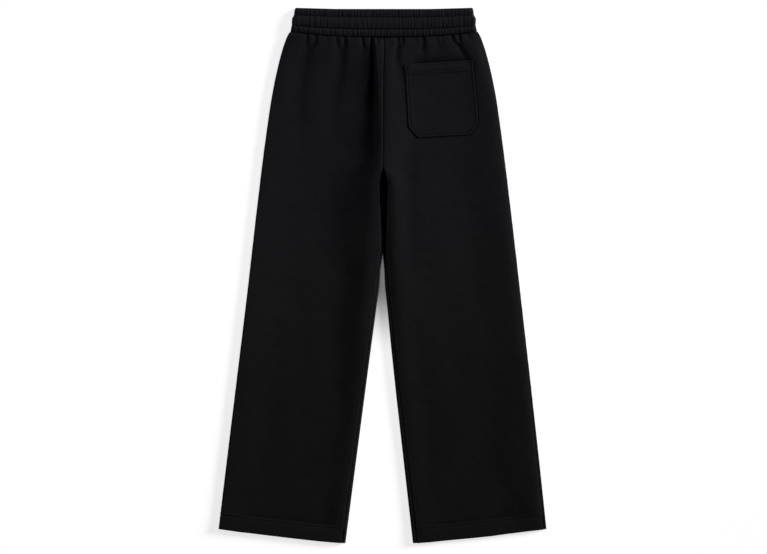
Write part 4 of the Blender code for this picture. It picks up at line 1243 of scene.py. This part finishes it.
def buildPocket():
    rows, columns = pocket["rows"], pocket["columns"]
    down = (np.linspace(0.0, 1.0, rows) * pocket["height"])[:, None]
    share = (0.5 - 0.5 * np.cos(np.linspace(0.0, math.pi, columns)))[None, :]
    share = mix(share, np.linspace(0.0, 1.0, columns)[None, :], pocket["evenColumns"])
    left, right = pocketSides(down)
    across = mix(left, right, share)
    x, y = pocketPlan(down, across)
    seatTop = topOf(rightBack)
    seat = np.array([[heightOn(seatTop, px, py) for px, py in zip(*row)] for row in zip(x, y)])
    seat = np.maximum(seat, softened(seat, pocket["bridging"])) + pocket["clearance"]

    # how far each point lies from the sewn edges
    lowEdge = pocket["height"] - down
    corner = (pocket["cornerX"], pocket["cornerY"])
    steep = math.hypot(*corner)
    sideAway = np.minimum(across - left, right - across)
    halfLow = pocket["low"] / 2
    cornerAway = ((halfLow - np.abs(across - pocket["lowShift"])) * corner[1]
                  + lowEdge * corner[0] - corner[0] * corner[1]) / steep
    fromEdge = np.maximum(np.minimum(np.minimum(sideAway, lowEdge), cornerAway), 0.0)

    below, hemSoft = pocket["hemStep"]
    hem = smooth((pocket["hem"] + below - down) / hemSoft)
    wall = mix(pocket["cloth"], pocket["turned"], hem)
    sewn = past(down, pocket["sewnFrom"])
    relief = pocket["edgeRidge"] * before(fromEdge, pocket["ridgeWide"]) * sewn
    groove = bell(fromEdge - pocket["stitchInset"], pocket["stitchGrooveWide"])
    hemLine = bell(down - pocket["hem"], pocket["stitchGrooveWide"])
    sewnLine = np.maximum(groove * smooth(down / pocket["stitchStart"]), hemLine)
    relief -= pocket["stitchGroove"] * sewnLine
    relief += unevenness(x, y, 61, *pocket["swell"]) + unevenness(x, y, 62, *pocket["ripple"])
    fromMouth = (down + pocket["mouthLip"]) / pocket["mouthRound"]
    rounding = np.minimum(fromEdge / pocket["edgeRound"], fromMouth)
    gone = 1.0 - np.clip(rounding, 0.0, 1.0)
    wall = wall + relief - (wall + relief - pocket["thinnest"]) * (1.0 - np.sqrt(1.0 - gone**2))

    openShare = 1.0 - smooth(down / pocket["liftedPart"])
    bulge = 1.0 - (2 * share - 1)**2
    lift = pocket["lift"] * openShare * bulge
    inner = np.stack([x, y, seat + lift], axis=-1)
    outer = np.stack([x, y, seat + lift + wall], axis=-1)
    # painted shade on the sewn edges, darkest on the left, which faces away from the light, and along
    # the stitch grooves
    leftTone, rightTone, lowTone = pocket["edgeTones"]
    facing = np.where(across < pocket["lowShift"], leftTone, rightTone)
    facing = np.maximum(facing, lowTone * smooth(1.0 - lowEdge / pocket["lowEdgeWide"]))
    shade = np.maximum(pocket["stitchDark"] * sewnLine,
                       facing * smooth(1.3 - fromEdge / pocket["edgeDark"]))
    return buildWall("backPocket", outer, inner, coarsePicks(rows, 3), coarsePicks(columns, 3),
                     everywhere, True, fleece, "fleece", shade)


backPocket = buildPocket()
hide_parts("back_pocket")
print("back pocket made")


stitches = {
    "length": 0.0027,
    "gap": 0.0006,
    "thread": 0.00032,        # half the thread's thickness
    "sink": 0.00008,
    "bulge": (0.45, 0.55),    # thickness at a stitch's ends, and how much more in its middle
    "dive": 0.8,              # how far its ends go down into the cloth
    "hemEnds": (0.004, 0.003),       # where a hem's lines stop before the inner and the outer edge
    "mouthGap": 0.003,        # where the pocket's edge line starts below the mouth
    "pocketHemGap": 0.002,
    "rings": 5,
    "sides": 6,
}


def stitchLine(surface, path):
    # a row of stitches along a line in plan, laid on a surface
    path = np.array(path)
    steps = np.linalg.norm(np.diff(path, axis=0), axis=1)
    runs = np.concatenate([[0.0], np.cumsum(steps)])
    pitch = stitches["length"] + stitches["gap"]
    vertices = []
    faces = []
    for index in range(int(runs[-1] / pitch)):
        at = index * pitch + stitches["gap"] / 2 + np.linspace(0, stitches["length"], stitches["rings"])
        xs = np.interp(at, runs, path[:, 0])
        ys = np.interp(at, runs, path[:, 1])
        heights = [heightOn(surface, px, py) for px, py in zip(xs, ys)]
        if None in heights:
            continue
        along = Vector((xs[-1] - xs[0], ys[-1] - ys[0], 0.0)).normalized()
        sideways = Vector((-along.y, along.x, 0.0))
        start = len(vertices)
        for ring in range(stitches["rings"]):
            share = ring / (stitches["rings"] - 1)
            ends, more = stitches["bulge"]
            radius = stitches["thread"] * (ends + more * math.sin(math.pi * share))
            dive = stitches["thread"] * (1.0 - math.sin(math.pi * share)) * stitches["dive"]
            z = heights[ring] + radius - stitches["sink"] - dive
            for side in range(stitches["sides"]):
                turn = 2 * math.pi * side / stitches["sides"]
                offset = sideways * (radius * math.cos(turn))
                vertices.append((xs[ring] + offset.x, ys[ring] + offset.y, z + radius * math.sin(turn)))
        sides = stitches["sides"]
        for ring in range(stitches["rings"] - 1):
            for side in range(sides):
                a = start + ring * sides + side
                b = start + ring * sides + (side + 1) % sides
                faces.append((a, b, b + sides, a + sides))
        faces.append(tuple(start + side for side in range(sides))[::-1])
        last = start + (stitches["rings"] - 1) * sides
        faces.append(tuple(last + side for side in range(sides)))
    return vertices, faces


def joinStitches(name, lines):
    vertices = []
    faces = []
    for lineVertices, lineFaces in lines:
        start = len(vertices)
        vertices.extend(lineVertices)
        faces.extend(tuple(start + i for i in face) for face in lineFaces)
    faces = [face[::-1] for face in faces]
    return addPiece(name, np.array(vertices), faces, blackThread)


def hemPath(leg, above):
    # plan line along a hem, between the two side seams
    innerGap, outerGap = stitches["hemEnds"]
    inner = float(leg.innerX[-1, 0]) + leg.side * innerGap
    outer = float(leg.outerX[-1, 0]) - leg.side * outerGap
    path = []
    for x in np.linspace(inner, outer, 60):
        share = abs(x - float(leg.innerX[-1, 0])) / float(leg.width[-1, 0])
        path.append((x, hemEdge(leg, share) + above))
    return path


def pocketEdgePath():
    # inside the sewn edges, down one side, along the bottom and up the other
    inset = pocket["stitchInset"]
    straight = pocket["height"] - pocket["cornerY"]
    slant = inset * math.tan(math.atan2(pocket["cornerX"], pocket["cornerY"]) / 2)
    half = pocket["low"] / 2 - inset
    bottom = pocket["height"] - inset
    cornerIn = half - pocket["cornerX"] + slant
    shift = pocket["lowShift"]
    start = stitches["mouthGap"]
    plan = [(start, -pocket["mouth"] / 2 + inset), (straight - slant, shift - half),
            (bottom, shift - cornerIn), (bottom, shift + cornerIn),
            (straight - slant, shift + half), (start, pocket["mouth"] / 2 - inset)]
    path = []
    for (down, across), (nextDown, nextAcross) in zip(plan, plan[1:]):
        for share in np.linspace(0.0, 1.0, 20)[:-1]:
            path.append(pocketPlan(mix(down, nextDown, share), mix(across, nextAcross, share)))
    path.append(pocketPlan(*plan[-1]))
    return path


def bandPath(line):
    path = []
    left = readTable(bandRows, waistband["lines"][line][0], 1)
    right = readTable(bandRows, waistband["lines"][line][0], 2)
    for x in np.linspace(*waistband["stitchSpan"], 120):
        share = lineShare(line, x, bandAcross(x, left, right))
        path.append((x, float(bandPlace(share, np.array(x), left, right, 1.0))))
    return path


leftTop, rightTop = topOf(leftBack), topOf(rightBack)
hemLines = []
for leg, top in ((leftLeg, leftTop), (rightLeg, rightTop)):
    for above in legs["hemStitch"]:
        hemLines.append(stitchLine(top, hemPath(leg, above)))
hemStitches = joinStitches("hemStitches", hemLines)

pocketTop = topOf(backPocket)
hemLeft, hemRight = pocketSides(np.array(pocket["hem"]))
hemAcross = np.linspace(hemLeft + stitches["pocketHemGap"], hemRight - stitches["pocketHemGap"], 40)
pocketLines = [stitchLine(pocketTop, pocketEdgePath()),
               stitchLine(pocketTop, [pocketPlan(pocket["hem"], across) for across in hemAcross])]
pocketStitches = joinStitches("pocketStitches", pocketLines)

bandTop = topOf(waistCasing)
bandStitches = joinStitches("bandStitches", [stitchLine(bandTop, bandPath(line)) for line in (0, 1)])
print("stitches made")


studio = {
    "floorColour": (0.88, 0.88, 0.88),
    "floorHalf": 14.0,
    "floorDrop": 0.0002,
    "floorGlow": 0.74,                 # the table shines by itself, so that it stays plain white
    "glowInLegShadow": 0.05,           # but hardly where the legs meet: a painted shadow on the table between them
    "glowCentre": (0.0, 0.01),
    "glowRise": (0.03, 0.17),          # between these distances from there
    "keyStrength": 3.0,
    "keyFrom": (0.88, 0.36, 0.24),     # towards the light
    "keySoftness": 16,                 # degrees
    "fillPower": 0.80,
    "fillPlace": (-0.06, 0.14, 0.70),
    "fillSize": 0.6,
    "fillTint": (0.96, 0.94, 1.0),
    "waistPower": 0.16,
    "waistPlace": (0.06, 0.80, 0.34),
    "waistAim": (0.0, 0.34, 0.0),
    "waistSize": 0.5,
    "waistTint": (0.72, 0.62, 1.0),
    "roomLight": 0.04,
    "pixel": 0.0020,                   # of the garment, to one pixel of a picture
    "pixels": 767,                     # that is this wide
    "viewCentre": (0.0017, -0.0030, 0.006),
    "lens": 110,
}


def addLight(name, kind, power, place=(0, 0, 0), beam=None, **settings):
    # the beam is the way from what it lights to the lamp, straight up where none is given
    lamp = bpy.data.objects.new(name, bpy.data.lights.new(name, kind))
    lamp.data.energy = power
    for setting, value in settings.items():
        setattr(lamp.data, setting, value)
    lamp.location = place
    lamp.rotation_mode = "QUATERNION"
    if beam:
        lamp.rotation_quaternion = Vector(beam).to_track_quat("Z", "Y")
    bpy.context.collection.objects.link(lamp)


def buildStudio():
    mesh = bpy.data.meshes.new("floor")
    half = studio["floorHalf"]
    mesh.from_pydata([(-half, -half, 0), (half, -half, 0), (half, half, 0), (-half, half, 0)],
                     [], [(0, 1, 2, 3)])
    floor = bpy.data.objects.new("floor", mesh)
    bpy.context.collection.objects.link(floor)
    floor.location.z = -studio["floorDrop"]
    material, tree, table = newMaterial("paleTable")
    place = addNode(tree, "ShaderNodeTexCoord").outputs["Object"]
    away = addNode(tree, "ShaderNodeVectorMath", {0: place, 1: (*studio["glowCentre"], 0.0)},
                   operation="DISTANCE")
    # the glow dips round the crotch: a painted shadow between the legs
    glow = change(tree, away.outputs["Value"], *studio["glowRise"],
                  studio["glowInLegShadow"], studio["floorGlow"])
    feed(tree, table, {"Base Color": (*studio["floorColour"], 1.0), "Roughness": 1.0,
                       "Specular IOR Level": 0.0, "Emission Color": (1.0, 1.0, 1.0, 1.0),
                       "Emission Strength": glow})
    mesh.materials.append(material)

    addLight("keyLight", "SUN", studio["keyStrength"], beam=studio["keyFrom"],
             angle=math.radians(studio["keySoftness"]))
    addLight("fillLight", "AREA", studio["fillPower"], studio["fillPlace"],
             size=studio["fillSize"], color=studio["fillTint"])
    beam = Vector(studio["waistPlace"]) - Vector(studio["waistAim"])
    addLight("waistLight", "AREA", studio["waistPower"], studio["waistPlace"], beam,
             size=studio["waistSize"], color=studio["waistTint"])

    world = bpy.data.worlds.new("room")
    world.use_nodes = True
    feed(world.node_tree, world.node_tree.nodes["Background"],
         {"Color": (1.0, 1.0, 1.0, 1.0), "Strength": studio["roomLight"]})
    bpy.context.scene.world = world
    bpy.context.scene.view_settings.view_transform = "Standard"

    camera = bpy.data.objects.new("camera", bpy.data.cameras.new("camera"))
    camera.data.lens = studio["lens"]
    width = studio["pixels"] * studio["pixel"]
    distance = width * camera.data.lens / camera.data.sensor_width
    camera.location = Vector(studio["viewCentre"]) + Vector((0, 0, distance))
    camera.data.clip_end = 50
    bpy.context.collection.objects.link(camera)
    bpy.context.scene.camera = camera


buildStudio()
print("studio made")
